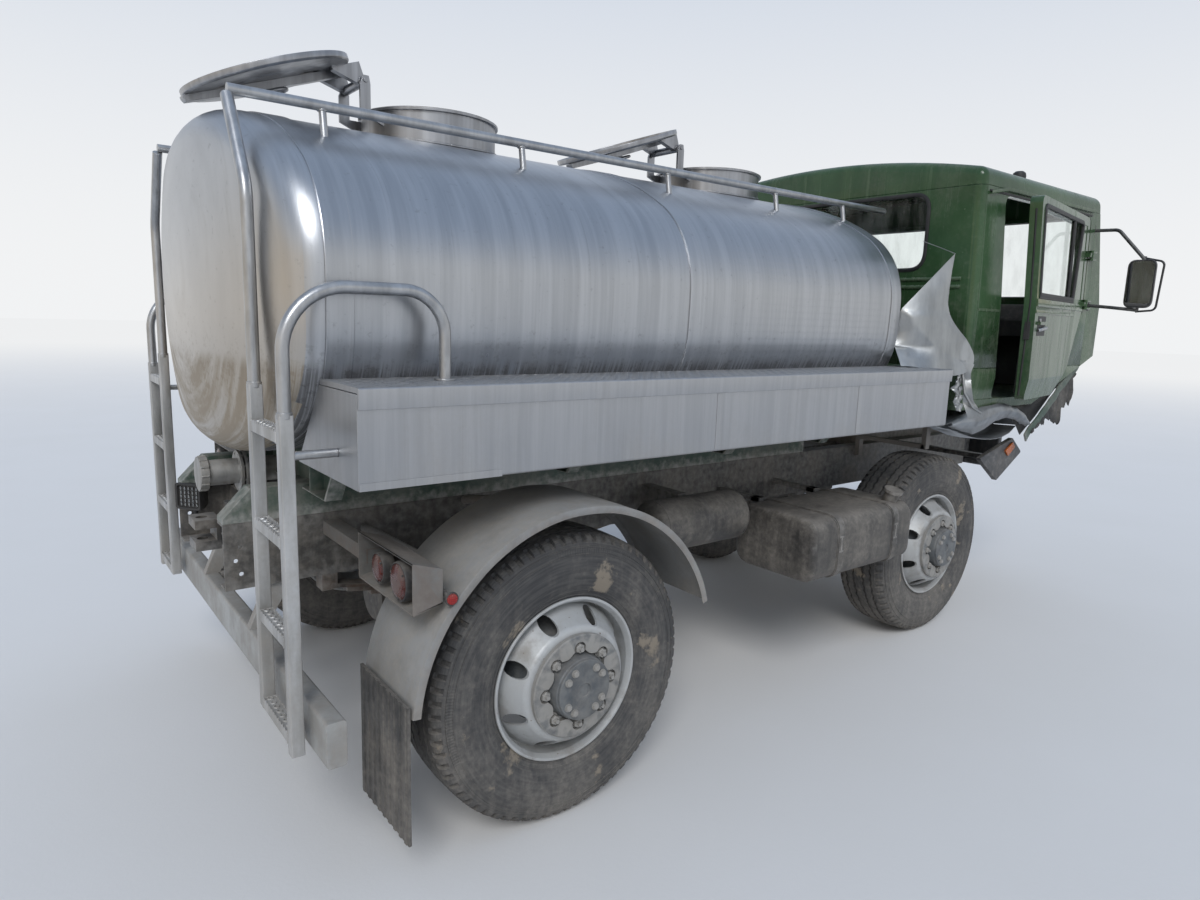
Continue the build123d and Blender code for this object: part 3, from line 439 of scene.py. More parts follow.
def tyre(name, x, wheel_y, side):
    """A tyre with its tread, centred on the wheel's middle plane."""
    half, floor = GROOVE_HALF
    crown = [(groove + edge, depth) for groove in GROOVE_Y
             for edge, depth in ((-half, 0), (-floor, GROOVE_DEPTH), (floor, GROOVE_DEPTH), (half, 0))]
    columns = []
    for k in range(TREAD_PITCHES):
        for share, notched, sway in ((0.0, 1, -1), (0.10, 0, -1), (0.60, 0, 1), (0.70, 1, 1)):
            columns.append((2 * pi * (k + share) / TREAD_PITCHES, notched, sway))
    bm = bmesh.new()
    uv = bm.loops.layers.uv.new("round")
    rings = []
    for angle, notched, sway in columns:
        line = [(r, y) for r, y in SIDEWALL]
        line += [(r - NOTCH[0] * bite * notched, y - NOTCH[1] * bite * notched) for r, y, bite in SHOULDER]
        top = [(wheel_radius - CROWN_FALL * y ** 2 - depth, y + TREAD_SWAY * sway)
               for y, depth in reversed(crown)]
        line = line + top + [(r, -y) for r, y in reversed(line)]
        rings.append([bm.verts.new((x + r * cos(angle), side * (wheel_y + y), wheel_radius + r * sin(angle)))
                      for r, y in line])
    rows = len(rings[0])
    for k, (angle, notched, sway) in enumerate(columns):
        here, after = rings[k], rings[(k + 1) % len(rings)]
        turn = angle / (2 * pi)
        turn_after = columns[k + 1][0] / (2 * pi) if k + 1 < len(columns) else 1.0
        for j in range(rows - 1):
            face = bm.faces.new((here[j], here[j + 1], after[j + 1], after[j]))
            for loop, spot in zip(face.loops,
                                  ((turn, j), (turn, j + 1), (turn_after, j + 1), (turn_after, j))):
                loop[uv].uv = (spot[0], spot[1] / rows)
    bmesh.ops.recalc_face_normals(bm, faces=bm.faces)
    return new_object(name, mesh_of(bm, name, 32))


tyre_rubber, tree, shader = new_material("tyre_rubber")
round_place = shade(tree, "UVMap", {"uv_map": "round"}).outputs[0]


def wrapped(stretch):
    """The place round the tyre and across it, stretched for a pattern."""
    return shade(tree, "Mapping", Vector=round_place, Scale=stretch).outputs[0]


rib_wave = shade(tree, "TexWave", {"wave_type": "BANDS", "bands_direction": "X"}, Vector=wrapped((180, 1, 1)),
                 Scale=0.5)
around = shade(tree, "SeparateXYZ", Vector=round_place).outputs["Y"]
rib_band = times(tree, rise(tree, around, 0.235, 0.245), rise(tree, around, 0.30, 0.29))
rib_gate = rise(tree, speckle(tree, wrapped((7, 0.1, 1)), 1.0, 0), 0.52, 0.54)
rib_relief = times(tree, rib_wave.outputs["Fac"], times(tree, rib_band, rib_gate))
mud = rise(tree, speckle(tree, place_on(tree), 5.5, 7, 0.62), 0.60, 0.66)
scuffs = speckle(tree, wrapped((6, 60, 1)), 3.0, 5)
rubber = blend_colour(tree, rise(tree, scuffs, 0.35, 0.7), (0.034, 0.034, 0.036, 1), (0.066, 0.065, 0.063, 1))
dusty = use_group(tree, road_dust, Paint=rubber, Dust=(0.118, 0.110, 0.100, 1), Amount=0.60, Low=-0.3,
                  High=1.5, Clean_Roughness=0.75)
caked = blend_colour(tree, times(tree, mud, 0.8), dusty.outputs["Color"], (0.235, 0.200, 0.155, 1))
feed_all(tree, shader, Base_Color=caked, Roughness=dusty.outputs["Roughness"])
tread_skin = add_share(tree, add_share(tree, dusty.outputs["Relief"], rib_relief, 0.8), mud, 1.2)
bump_from(tree, shader, tread_skin, 0.0016, 0.9)

# The rims are pressed discs welded into rolled hoops, sprayed silver, with eight round
# hand holes. Brake dust and mud have greyed them near the hub and in the well.
RIM_WIDE = 0.135
DISC_FACE = 0.177
HAND_HOLES = 8
HOLE_CIRCLE = 0.234
HOLE_RADIUS = 0.027
rim_line = [
    (0.2985, RIM_WIDE, 0.004), (0.2985, 0.126, 0.004), (0.2865, 0.121, 0.004), (0.2845, 0.100, 0.01),
    (0.2845, -0.112, 0.01), (0.2865, -0.121, 0.004), (0.2985, -0.126, 0.004), (0.2985, -RIM_WIDE, 0.004),
    (0.289, -RIM_WIDE, 0.006), (0.276, -0.118, 0.01), (0.276, 0.020, 0.004), (0.262, 0.062, 0.03),
    (0.208, 0.163, 0.03), (0.120, 0.166, 0.002), (0.120, DISC_FACE, 0.002), (0.205, DISC_FACE, 0.030),
    (0.262, 0.086, 0.04), (0.276, 0.052, 0.004), (0.276, 0.116, 0.010), (0.289, RIM_WIDE, 0.006)]
rim_silver, tree, shader = new_material("rim_silver")
darkening = rise(tree, speckle(tree, place_on(tree), 7.0, 7, 0.65), 0.45, 0.72)
sprayed = blend_colour(tree, darkening, (0.42, 0.43, 0.43, 1), (0.25, 0.24, 0.222, 1))
chipped = rise(tree, speckle(tree, place_on(tree), 60.0, 3), 0.70, 0.74)
sprayed = blend_colour(tree, chipped, sprayed, (0.12, 0.075, 0.045, 1))
dusty = use_group(tree, road_dust, Paint=sprayed, Dust=(0.20, 0.19, 0.175, 1), Amount=0.40, Low=-0.1,
                  High=1.3, Clean_Roughness=0.42)
feed_all(tree, shader, Base_Color=dusty.outputs["Color"], Roughness=dusty.outputs["Roughness"], Metallic=0.25)
bump_from(tree, shader, dusty.outputs["Relief"], 0.0008, 0.7)


def cut(piece, *tools):
    """Takes solid tools away from a piece, and deletes the tools."""
    for tool in tools:
        away = piece.modifiers.new("cut", "BOOLEAN")
        away.operation = "DIFFERENCE"
        away.solver = "EXACT"
        away.object = tool
    return settled(piece, *tools)


def settled(piece, *helpers):
    """Turns a piece's modifiers into plain mesh, and deletes its helper objects."""
    depsgraph = bpy.context.evaluated_depsgraph_get()
    mesh = bpy.data.meshes.new_from_object(piece.evaluated_get(depsgraph))
    piece.modifiers.clear()
    old = piece.data
    piece.data = mesh
    bpy.data.meshes.remove(old)
    for helper in helpers:
        bpy.data.objects.remove(helper)
    return piece


def bar(bm, start, end, radius, steps=24):
    """A round bar between two points, added to a bmesh."""
    start, end = Vector(start), Vector(end)
    turn = (end - start).to_track_quat("Z", "Y").to_matrix().to_4x4()
    place = Matrix.Translation((start + end) / 2) @ turn
    bmesh.ops.create_cone(bm, cap_ends=True, segments=steps, radius1=radius, radius2=radius,
                          depth=(end - start).length, matrix=place)


def rim(name, x, wheel_y, side):
    """A rim with its hand holes."""
    line = [(r, wheel_y + y) for r, y in rounded_path(rim_line, closed=True)]
    hoop = spun(name, line, x, side, 96, closed=True)
    bm = bmesh.new()
    for angle in turns(HAND_HOLES, 0.5):
        hole_x, hole_z = x + HOLE_CIRCLE * cos(angle), wheel_radius + HOLE_CIRCLE * sin(angle)
        bar(bm, (hole_x, side * (wheel_y + 0.04), hole_z), (hole_x, side * (wheel_y + 0.24), hole_z),
            HOLE_RADIUS, 32)
    holes = new_object("holes", mesh_of(bm, "holes"))
    hoop = cut(hoop, holes)
    hoop.data.set_sharp_from_angle(angle=radians(35))
    eased_edge = hoop.modifiers.new("eased", "BEVEL")
    eased_edge.width = 0.0025
    eased_edge.segments = 2
    eased_edge.angle_limit = radians(50)
    return hoop


# The hub has a ring that guards the eight wheel nuts, scalloped round each of them, and a
# centre plate with four pairs of bolts. It is cast iron with dark blue-grey paint.
NUTS = 8
NUT_CIRCLE = 0.1375
RING_OUTER = 0.186
RING_TONGUE = 0.119
PLATE_RADIUS = 0.108
BOLT_CIRCLE = 0.084
BOLT_SPREAD = radians(13)
hub_paint = weathered("hub_paint", (0.060, 0.070, 0.080), (0.13, 0.14, 0.145), dust=0.5, low=-0.1, high=1.3,
                      wear=0.9, metal=(0.30, 0.29, 0.27), mottle=18.0)


def growth_tree(name, inputs):
    """A tree of geometry nodes: its inputs as name, kind and start value."""
    tree = bpy.data.node_groups.new(name, "GeometryNodeTree")
    tree.interface.new_socket(name="Geometry", in_out="INPUT", socket_type="NodeSocketGeometry")
    for key, kind, value in inputs:
        socket = tree.interface.new_socket(name=key, in_out="INPUT", socket_type="NodeSocket" + kind)
        if value is not None:
            socket.default_value = value
    tree.interface.new_socket(name="Geometry", in_out="OUTPUT", socket_type="NodeSocketGeometry")
    return tree, tree.nodes.new("NodeGroupInput"), tree.nodes.new("NodeGroupOutput")


def grown(name, tree, carrier=None, **values):
    """The plain mesh that a tree of geometry nodes makes, as an object."""
    start = carrier or new_object(name + "_start", bpy.data.meshes.new(name + "_start"))
    growth = start.modifiers.new("growth", "NODES")
    growth.node_group = tree
    for item in tree.interface.items_tree:
        key = item.name.replace(" ", "_")
        if item.in_out == "INPUT" and key in values:
            growth[item.identifier] = values[key]
    depsgraph = bpy.context.evaluated_depsgraph_get()
    mesh = bpy.data.meshes.new_from_object(start.evaluated_get(depsgraph))
    mesh.name = name
    bpy.data.objects.remove(start)
    made = bpy.data.objects.new(name, mesh)
    bpy.context.scene.collection.objects.link(made)
    return made


# A ring or row of like fasteners: one item set on each point of a carrier mesh, turned by
# the carrier's own "turn" values
fasteners, inside, outside = growth_tree(
    "fasteners", [("Item", "Object", None), ("Size", "Float", 1.0), ("Finish", "Material", None)])
item = grow(fasteners, "GeometryNodeObjectInfo", Object=inside.outputs["Item"])
turn = grow(fasteners, "GeometryNodeInputNamedAttribute", {"data_type": "FLOAT_VECTOR"}, Name="turn")
turned_item = grow(fasteners, "GeometryNodeInstanceOnPoints", Points=inside.outputs["Geometry"],
                   Instance=item.outputs["Geometry"], Rotation=turn.outputs["Attribute"],
                   Scale=inside.outputs["Size"])
real = grow(fasteners, "GeometryNodeRealizeInstances", Geometry=turned_item.outputs["Instances"])
set_finish = grow(fasteners, "GeometryNodeSetMaterial", Geometry=real.outputs["Geometry"],
                  Material=inside.outputs["Finish"])
fasteners.links.new(set_finish.outputs["Geometry"], outside.inputs["Geometry"])


def set_on(name, item, spots, material, size=1.0):
    """Like items on a list of (place, direction), each item's own +Z along its direction."""
    mesh = bpy.data.meshes.new(name + "_spots")
    mesh.from_pydata([tuple(place) for place, direction in spots], [], [])
    turns = mesh.attributes.new("turn", "FLOAT_VECTOR", "POINT")
    for k, (place, direction) in enumerate(spots):
        turns.data[k].vector = Vector(direction).to_track_quat("Z", "Y").to_euler()
    carrier = new_object(name + "_spots", mesh)
    return grown(name, fasteners, carrier, Item=item, Size=size, Finish=material)


def cone(bm, steps, radius, top_radius, low, high):
    """An upright cone or cylinder between two heights, added to a bmesh."""
    bmesh.ops.create_cone(bm, cap_ends=True, segments=steps, radius1=radius, radius2=top_radius,
                          depth=high - low, matrix=Matrix.Translation((0, 0, (low + high) / 2)))


def fastener(name, sides, across, height, chamfer, washer, stud=0.0):
    """A bolt head or nut with its chamfer, washer and stud end, standing on z = 0."""
    bm = bmesh.new()
    cone(bm, 24, washer, washer * 0.96, 0.0, 0.004)
    cone(bm, sides, across, across, 0.0, height - chamfer)
    cone(bm, sides, across, across * 0.82, height - chamfer, height)
    if stud:
        cone(bm, 16, across * 0.48, across * 0.42, height, height + stud)
    bmesh.ops.remove_doubles(bm, verts=bm.verts, dist=1e-6)
    return new_object(name, mesh_of(bm, name, 30))


wheel_nut = fastener("wheel_nut", 6, 0.0175, 0.024, 0.004, washer=0.021, stud=0.010)
plate_bolt = fastener("plate_bolt", 6, 0.0120, 0.011, 0.003, washer=0.0145)


def joined(name, *objects):
    """Several objects' meshes as one, with their materials kept."""
    bm = bmesh.new()
    materials = []
    for part in objects:
        start = len(bm.faces)
        bm.from_mesh(part.data)
        bm.faces.ensure_lookup_table()
        for face in bm.faces[start:]:
            slots = part.data.materials
            material = slots[face.material_index] if face.material_index < len(slots) else None
            if material not in materials:
                materials.append(material)
            face.material_index = materials.index(material)
        bpy.data.objects.remove(part)
    mesh = bpy.data.meshes.new(name)
    bm.to_mesh(mesh)
    bm.free()
    for material in materials:
        mesh.materials.append(material)
    made = bpy.data.objects.new(name, mesh)
    bpy.context.scene.collection.objects.link(made)
    return made


def loft(bm, rings, ends=True):
    """Faces between closed rings of points, with the first and the last ring filled."""
    for here, after in zip(rings, rings[1:]):
        for j in range(len(here)):
            m = (j + 1) % len(here)
            bm.faces.new((here[j], here[m], after[m], after[j]))
    if ends:
        bm.faces.new(rings[0])
        bm.faces.new(rings[-1])


def nut_guard(name, x, wheel_y, side):
    """The scalloped ring round the wheel nuts."""
    bm = bmesh.new()
    low, high = DISC_FACE + 0.0005, DISC_FACE + 0.020
    per_nut, scallop, sweep_half = 16, 0.0245, radians(112)
    inner, outer = [], []
    for middle in turns(NUTS):
        centre = Vector((NUT_CIRCLE * cos(middle), NUT_CIRCLE * sin(middle)))
        for k in range(per_nut):
            angle = middle + (k / per_nut - 0.5) * 2 * pi / NUTS
            outer.append(Vector((cos(angle), sin(angle))) * RING_OUTER)
            if 2 <= k <= per_nut - 2:
                sweep = middle + (k - per_nut / 2) / (per_nut / 2 - 2) * sweep_half
                inner.append(centre + Vector((cos(sweep), sin(sweep))) * scallop)
            else:
                inner.append(Vector((cos(angle), sin(angle))) * RING_TONGUE)
    eased_outer = [p * (1 - 0.005 / p.length) for p in outer]
    rings = []
    for line, level in ((outer, low), (outer, high - 0.004), (eased_outer, high), (inner, high),
                        (inner, low)):
        rings.append([bm.verts.new((x + p.x, side * (wheel_y + level), wheel_radius + p.y)) for p in line])
    loft(bm, rings + rings[:1], ends=False)
    bmesh.ops.recalc_face_normals(bm, faces=bm.faces)
    return new_object(name, mesh_of(bm, name, 30), hub_paint)


def hub(name, x, wheel_y, back, side):
    """A hub with its drum, nut guard, nuts and centre plate."""
    out = wheel_y + DISC_FACE
    barrel_line = [(0.0, wheel_y + back), (0.198, wheel_y + back, 0.01), (0.198, wheel_y + 0.02, 0.01),
                   (0.150, wheel_y + 0.150, 0.02), (0.1185, wheel_y + 0.160), (0.1185, out + 0.002),
                   (0.1140, out + 0.012, 0.004), (PLATE_RADIUS + 0.003, out + 0.040, 0.006),
                   (PLATE_RADIUS + 0.001, out + 0.043), (PLATE_RADIUS, out + 0.044),
                   (PLATE_RADIUS - 0.001, out + 0.055, 0.004), (0.024, out + 0.0555, 0.002),
                   (0.022, out + 0.0505, 0.002), (0.0, out + 0.050)]
    barrel = coated(spun(name + "_barrel", rounded_path(barrel_line), x, side, 72), hub_paint)

    def spots(circle_radius, level, angles):
        """Places on a circle of the hub's face, each with the way it faces."""
        return [((x + circle_radius * cos(a), side * (out + level), wheel_radius + circle_radius * sin(a)),
                 (0, side, 0)) for a in angles]

    bolt_angles = [middle + step * BOLT_SPREAD for middle in turns(4, 0.5) for step in (-1, 1)]
    return joined(name, barrel, nut_guard(name + "_guard", x, wheel_y, side),
                  set_on(name + "_nuts", wheel_nut, spots(NUT_CIRCLE, 0.001, turns(NUTS)), hub_paint),
                  set_on(name + "_bolts", plate_bolt, spots(BOLT_CIRCLE, 0.0552, bolt_angles), hub_paint))


wheels = (
    # name, axle x, side, back of the hub from the wheel's middle plane
    ("rear_right", rear_x, -1, -0.125), ("rear_left", rear_x, 1, -0.125),
    ("front_right", front_x, -1, 0.030), ("front_left", front_x, 1, 0.030))
for place, x, side, back in wheels:
    low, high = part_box("tyre_" + place)
    middle_y = abs(low.y + high.y) / 2
    body = "wheel_" + place
    fit(tyre("tyre_cover_" + place, x, middle_y, side), tyre_rubber, body, "tyre_rubber", "tyre_" + place)
    fit(rim("steel_rim_" + place, x, middle_y, side), rim_silver, body, "rim_silver", "rim_" + place)
    fit(hub("wheel_hub_" + place, x, middle_y, back, side), None, body, "hub_grey", "hub_" + place)
bpy.data.objects.remove(wheel_nut)
bpy.data.objects.remove(plate_bolt)

# The tank lies on a green steel cradle: two long bearers on the frame, with folded saddles
# welded across them. The paint is faded, scratched and dusty.
cradle_green = weathered("cradle_green", (0.030, 0.062, 0.045), (0.075, 0.105, 0.085), dust=0.65, wear=0.8)
fit(eased("tank_cradle", "tank_cradle_steel", 0.003), cradle_green, "chassis", "cradle_green", "tank_cradle")

# The tank is stainless sheet rolled to a crowned oval and welded to two dished heads with
# round knuckles. Wide bands cover its joints. Its sheets are polished in small swirls and
# lie a little uneven, and rain has left streaks down its sides.
tank_low, tank_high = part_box("tank_body")
TANK_HALF = (tank_high.y - tank_low.y) / 2
WAIST_Z = 1.890
TANK_QUARTERS = (
    # side radius, crown radius, corner radius, crown height, up or down
    (1.500, 1.500, 0.400, tank_high.z, 1),
    (2.500, 1.900, 0.400, tank_low.z, -1))
HEAD_CROWN = 3.400
HEAD_KNUCKLE = 0.130
tank_rear_seam = rear_x - 0.750
tank_front_seam = rear_x + 2.180
SECTION_STEP = 0.022
SHELL_STEPS = 58


def tank_quarter(side_radius, crown_radius, corner_radius, crown_z, up):
    """Points of one quarter from the waist to the crown, along its three arcs."""
    side = Vector((TANK_HALF - side_radius, 0.0))
    crown = Vector((0.0, abs(crown_z - WAIST_Z) - crown_radius))
    gap = crown - side
    reach = side_radius - corner_radius
    along = (reach ** 2 - (crown_radius - corner_radius) ** 2 + gap.length ** 2) / (2 * gap.length)
    across = sqrt(reach ** 2 - along ** 2)
    unit = gap.normalized()
    spots = [side + unit * along + Vector((-unit.y, unit.x)) * across * turn for turn in (1, -1)]
    corner = max(spots, key=lambda p: p.y)
    first = atan2(corner.y - side.y, corner.x - side.x)
    second = atan2(corner.y - crown.y, corner.x - crown.x)
    line = []
    for centre, radius, start, end in ((side, side_radius, 0.0, first),
                                       (corner, corner_radius, first, second),
                                       (crown, crown_radius, second, pi / 2)):
        count = max(2, round(radius * (end - start) / SECTION_STEP))
        for k in range(count):
            angle = start + (end - start) * k / count
            line.append((centre.x + radius * cos(angle), up * (centre.y + radius * sin(angle))))
    line.append((0.0, up * abs(crown_z - WAIST_Z)))
    return line


def tank_section():
    """The whole outline across the tank as (y, z) from its middle, starting at the bottom."""
    upper, lower = (tank_quarter(*quarter) for quarter in TANK_QUARTERS)
    left = list(reversed(lower)) + upper[1:]
    return left + [(-y, z) for y, z in reversed(left[1:-1])]


section = tank_section()
section_run = [0.0]
for (y0, z0), (y1, z1) in zip(section, section[1:] + section[:1]):
    section_run.append(section_run[-1] + hypot(y1 - y0, z1 - z0))


def head_line(reach):
    """The dish of a head over one spot of the outline, as (distance from the middle, depth)."""
    centre = reach - HEAD_KNUCKLE
    flat = HEAD_CROWN - HEAD_KNUCKLE
    back = sqrt(flat ** 2 - centre ** 2)
    lean = asin(back / flat)
    line = [(centre + HEAD_KNUCKLE * cos(lean * k / 8), back + HEAD_KNUCKLE * sin(lean * k / 8))
            for k in range(9)]
    edge = line[-1][0]
    for k in range(1, 13):
        r = edge * (1 - k / 13)
        line.append((r, sqrt(HEAD_CROWN ** 2 - r ** 2)))
    return line


def sheet_wave(x, run, height):
    """How far a sheet lies in or out of its true line."""
    spot = Vector((x * 1.3, run * 0.9, height))
    fine_spot = Vector((x * 3.1, run * 2.3, height + 7.0))
    return 0.0022 * noise.noise(spot) + 0.0007 * noise.noise(fine_spot)


def tank_shell(name):
    """The tank with its heads, as one closed skin with a map of metres along and around it."""
    bm = bmesh.new()
    uv = bm.loops.layers.uv.new("sheet")
    tip = {-1: tank_low.x, 1: tank_high.x}
    columns = []
    for k, (y, z) in enumerate(section):
        reach = hypot(y, z)
        out = Vector((y, z)) / reach
        line = []
        rear, front = ([(r, tip[end] - end * (HEAD_CROWN - depth)) for r, depth in head_line(reach)]
                       for end in (-1, 1))
        line += [(x, r) for r, x in reversed(rear)]
        start, stop = rear[0][1], front[0][1]
        line += [(start + (stop - start) * j / SHELL_STEPS, reach) for j in range(1, SHELL_STEPS)]
        line += [(x, r) for r, x in front]
        column = []
        for x, r in line:
            calm = min(1.0, max(0.0, (x - tank_low.x) / 0.30)) * min(1.0, max(0.0, (tank_high.x - x) / 0.30))
            r -= (0.0022 + sheet_wave(x, section_run[k], 0.0)) * calm
            place = out * r
            column.append((x, place.x, WAIST_Z + place.y))
        columns.append(column)
    verts = [[bm.verts.new(p) for p in column] for column in columns]
    count = len(columns)
    for k in range(count):
        here, after = verts[k], verts[(k + 1) % count]
        for j in range(len(here) - 1):
            face = bm.faces.new((here[j], after[j], after[j + 1], here[j + 1]))
            run0, run1 = section_run[k], section_run[k + 1]
            for loop, run in zip(face.loops, (run0, run1, run1, run0)):
                loop[uv].uv = (loop.vert.co.x - rear_x, run)
    for end in (0, -1):
        middle = bm.verts.new((tip[-1] if end == 0 else tip[1], 0, WAIST_Z))
        for k in range(count):
            bm.faces.new((middle, verts[(k + 1) % count][end], verts[k][end]))
    bmesh.ops.recalc_face_normals(bm, faces=bm.faces)
    return new_object(name, mesh_of(bm, name, 60))


# Swirls: short overlapping arcs in rows, as a polishing disc leaves them on sheet
swirl_polish, inside, outside = new_group("swirl_polish", {"Along": 0.0, "Around": 0.0, "Pitch": 0.03},
                                          {"Mask": "Float"})
row = calc(swirl_polish, "DIVIDE", inside.outputs["Around"], inside.outputs["Pitch"])
row_number = calc(swirl_polish, "FLOOR", row)
shift = times(swirl_polish, calc(swirl_polish, "MODULO", row_number, 2.0), 0.5)
column = plus(swirl_polish, calc(swirl_polish, "DIVIDE", inside.outputs["Along"], inside.outputs["Pitch"]),
              shift)
across = minus(swirl_polish, calc(swirl_polish, "FRACT", column), 0.5)
upward = calc(swirl_polish, "FRACT", row)
feed_all(swirl_polish, outside, Mask=rise(swirl_polish, radial(swirl_polish, across, upward), 0.35, 0.75))

tank_steel, tree, shader = new_material("tank_steel")
sheet_place = shade(tree, "UVMap", {"uv_map": "sheet"}).outputs[0]
on_sheet = shade(tree, "SeparateXYZ", Vector=sheet_place)
place = place_on(tree)
swirls = use_group(tree, swirl_polish, Along=on_sheet.outputs["X"], Around=on_sheet.outputs["Y"], Pitch=0.030)
streaks = speckle(tree, place_on(tree, (26, 1.6, 1.1)), 1.0, 6, 0.62)
thin_streaks = speckle(tree, place_on(tree, (95, 2.2, 1.6)), 1.0, 5, 0.6)
clouds = speckle(tree, place, 1.7, 5, 0.6)
spots = speckle(tree, place, 38.0, 4, 0.7)
tint = blend_colour(tree, rise(tree, streaks, 0.30, 0.70), (0.380, 0.390, 0.405, 1), (0.470, 0.480, 0.495, 1))
tint = stained(tree, tint, thin_streaks, 0.55, 0.78, 0.35, (0.275, 0.273, 0.270, 1))
tint = stained(tree, tint, clouds, 0.50, 0.80, 0.15, (0.325, 0.335, 0.345, 1))
height = shade(tree, "SeparateXYZ", Vector=place).outputs["Z"]
# Painted shade: a streaky dark band just above the side boxes, where the tank meets them. It is added to the
# splash spots, which are real dirt.
darkening = times(tree, rise(tree, height, 1.650, 1.590), rise(tree, thin_streaks, 0.30, 0.60))
splash_and_shade = add_share(tree, spots, rise(tree, height, 1.85, 1.55), 0.10)
splash_and_shade = plus(tree, rise(tree, splash_and_shade, 0.60, 0.74, 0.0, 0.30), darkening, True)
tint = blend_colour(tree, times(tree, splash_and_shade, 0.85), tint, (0.13, 0.13, 0.135, 1))
gloss = add_share(tree, rise(tree, clouds, 0.3, 0.7, 0.24, 0.32), streaks, 0.10)
feed_all(tree, shader, Base_Color=tint, Metallic=1.0, Roughness=add_share(tree, gloss, splash_and_shade, 0.3))
polished = times(tree, swirls.outputs["Mask"], rise(tree, on_sheet.outputs["X"], 0.5, 1.7, 0.05, 0.50))
relief = add_share(tree, add_share(tree, polished, thin_streaks, 0.55), clouds, 1.2)
bump_from(tree, shader, relief, 0.0006, 0.5)

# The dished heads were planished on a turning table, which leaves fine rings
head_steel = tank_steel.copy()
head_steel.name = "head_steel"
tree = head_steel.node_tree
shader = tree.nodes["Principled BSDF"]
from_middle = shade(tree, "Mapping", Vector=shade(tree, "TexCoord").outputs["Object"],
                    Location=(0, 0, -WAIST_Z), Scale=(0, 1, 1))
radius = shade(tree, "VectorMath", {"operation": "LENGTH"})
tree.links.new(from_middle.outputs[0], radius.inputs[0])
ring_spot = shade(tree, "CombineXYZ", X=radius.outputs["Value"], Y=0.0, Z=0.0)
rings = speckle(tree, ring_spot.outputs[0], 210.0, 3, 0.7)
blotches = speckle(tree, place_on(tree), 2.4, 5, 0.6)
bump_from(tree, shader, add_share(tree, rings, blotches, 1.4), 0.0005, 0.5)
# Painted reflection: a warm gold tint on the heads, growing towards their bottom, stands for the reflection
# of a sunlit wall.
painted_warm_reflection = rise(tree, shade(tree, "SeparateXYZ", Vector=place_on(tree)).outputs["Z"], 2.15, 1.50, 0.0, 0.42)
sheet_colour = shader.inputs["Base Color"].links[0].from_socket
feed_all(tree, shader, Base_Color=blend_colour(tree, painted_warm_reflection, sheet_colour, (0.62, 0.50, 0.34, 1)))


def band(bm, uv, x0, x1, proud, edge=0.002):
    """A flat band round the tank, its edges stepped down to the sheet."""
    lines = ((x0, -0.003), (x0, proud - edge * 0.5), (x0 + edge, proud), (x1 - edge, proud),
             (x1, proud - edge * 0.5), (x1, -0.003))
    rings = []
    for k in range(len(section) + 1):
        y, z = section[k % len(section)]
        out = Vector((y, z)).normalized()
        rings.append([bm.verts.new((x, y + out.x * (d - 0.0015), WAIST_Z + z + out.y * (d - 0.0015)))
                      for x, d in lines])
    for k, (here, after) in enumerate(zip(rings, rings[1:])):
        runs = section_run[k:k + 2]
        for j in range(len(lines) - 1):
            face = bm.faces.new((here[j], after[j], after[j + 1], here[j + 1]))
            for loop, run in zip(face.loops, (runs[0], runs[1], runs[1], runs[0])):
                loop[uv].uv = (loop.vert.co.x - rear_x, run)


BANDS = (
    # rear and front edge from the rear axle
    (-0.752, -0.668), (0.690, 0.760), (2.100, 2.182))
WELL_RADIUS = 0.266
HATCHES = (0.040, 1.730)
shell = tank_shell("tank_sheets")
bm = bmesh.new()
for x in HATCHES:
    bar(bm, (rear_x + x, 0, 2.222), (rear_x + x, 0, 2.60), WELL_RADIUS, 64)
wells = new_object("wells", mesh_of(bm, "wells"))
shell = cut(shell, wells)
shell.data.set_sharp_from_angle(angle=radians(50))
shell.data.materials.append(tank_steel)
shell.data.materials.append(head_steel)
for face in shell.data.polygons:
    if face.center.x < tank_rear_seam - 0.05 or face.center.x > tank_front_seam + 0.05:
        face.material_index = 1
bm = bmesh.new()
uv = bm.loops.layers.uv.new("sheet")
for x0, x1 in BANDS:
    band(bm, uv, rear_x + x0, rear_x + x1, 0.0035)
bands = new_object("tank_bands", mesh_of(bm, "tank_bands", 20), tank_steel)
fit(joined("stainless_tank", shell, bands), None, "chassis", "tank_steel", "tank_body")

# The manhole necks are stainless rings welded on the tank, each with a flat flange, a seal
# of pale rubber laid in its mouth and two lugs at the back for the lid's hinge pin.
NECK_RADIUS = 0.280
NECK_TOP = 2.580
HINGE_BACK = NECK_RADIUS + 0.045
HINGE_Z = 2.670


def slab(bm, low, high):
    """A box between two corners, added to a bmesh."""
    low, high = Vector(low), Vector(high)
    place = Matrix.Translation((low + high) / 2) @ Matrix.Diagonal((*(high - low), 1.0))
    return bmesh.ops.create_cube(bm, size=1.0, matrix=place)["verts"]


def prism(bm, outline, axis, start, stop):
    """An outline drawn out along x, y or z, added to a bmesh."""
    order = {"x": (2, 0, 1), "y": (0, 2, 1), "z": (0, 1, 2)}[axis]
    rings = [[bm.verts.new([(u, v, level)[i] for i in order]) for u, v in outline] for level in (start, stop)]
    loft(bm, rings)
    return rings[0] + rings[1]


def lathe(bm, profile, centre, steps=64, closed=False):
    """A path of (radius, height) turned about an upright axis, added to a bmesh."""
    rings = [[bm.verts.new((centre[0] + r * cos(angle), centre[1] + r * sin(angle), centre[2] + h))
              for r, h in profile] for angle in turns(steps)]
    last = len(profile) if closed else len(profile) - 1
    for k in range(steps):
        here, after = rings[k], rings[(k + 1) % steps]
        for j in range(last):
            m = (j + 1) % len(profile)
            bm.faces.new((here[j], after[j], after[m], here[m]))
    return [vert for ring in rings for vert in ring]


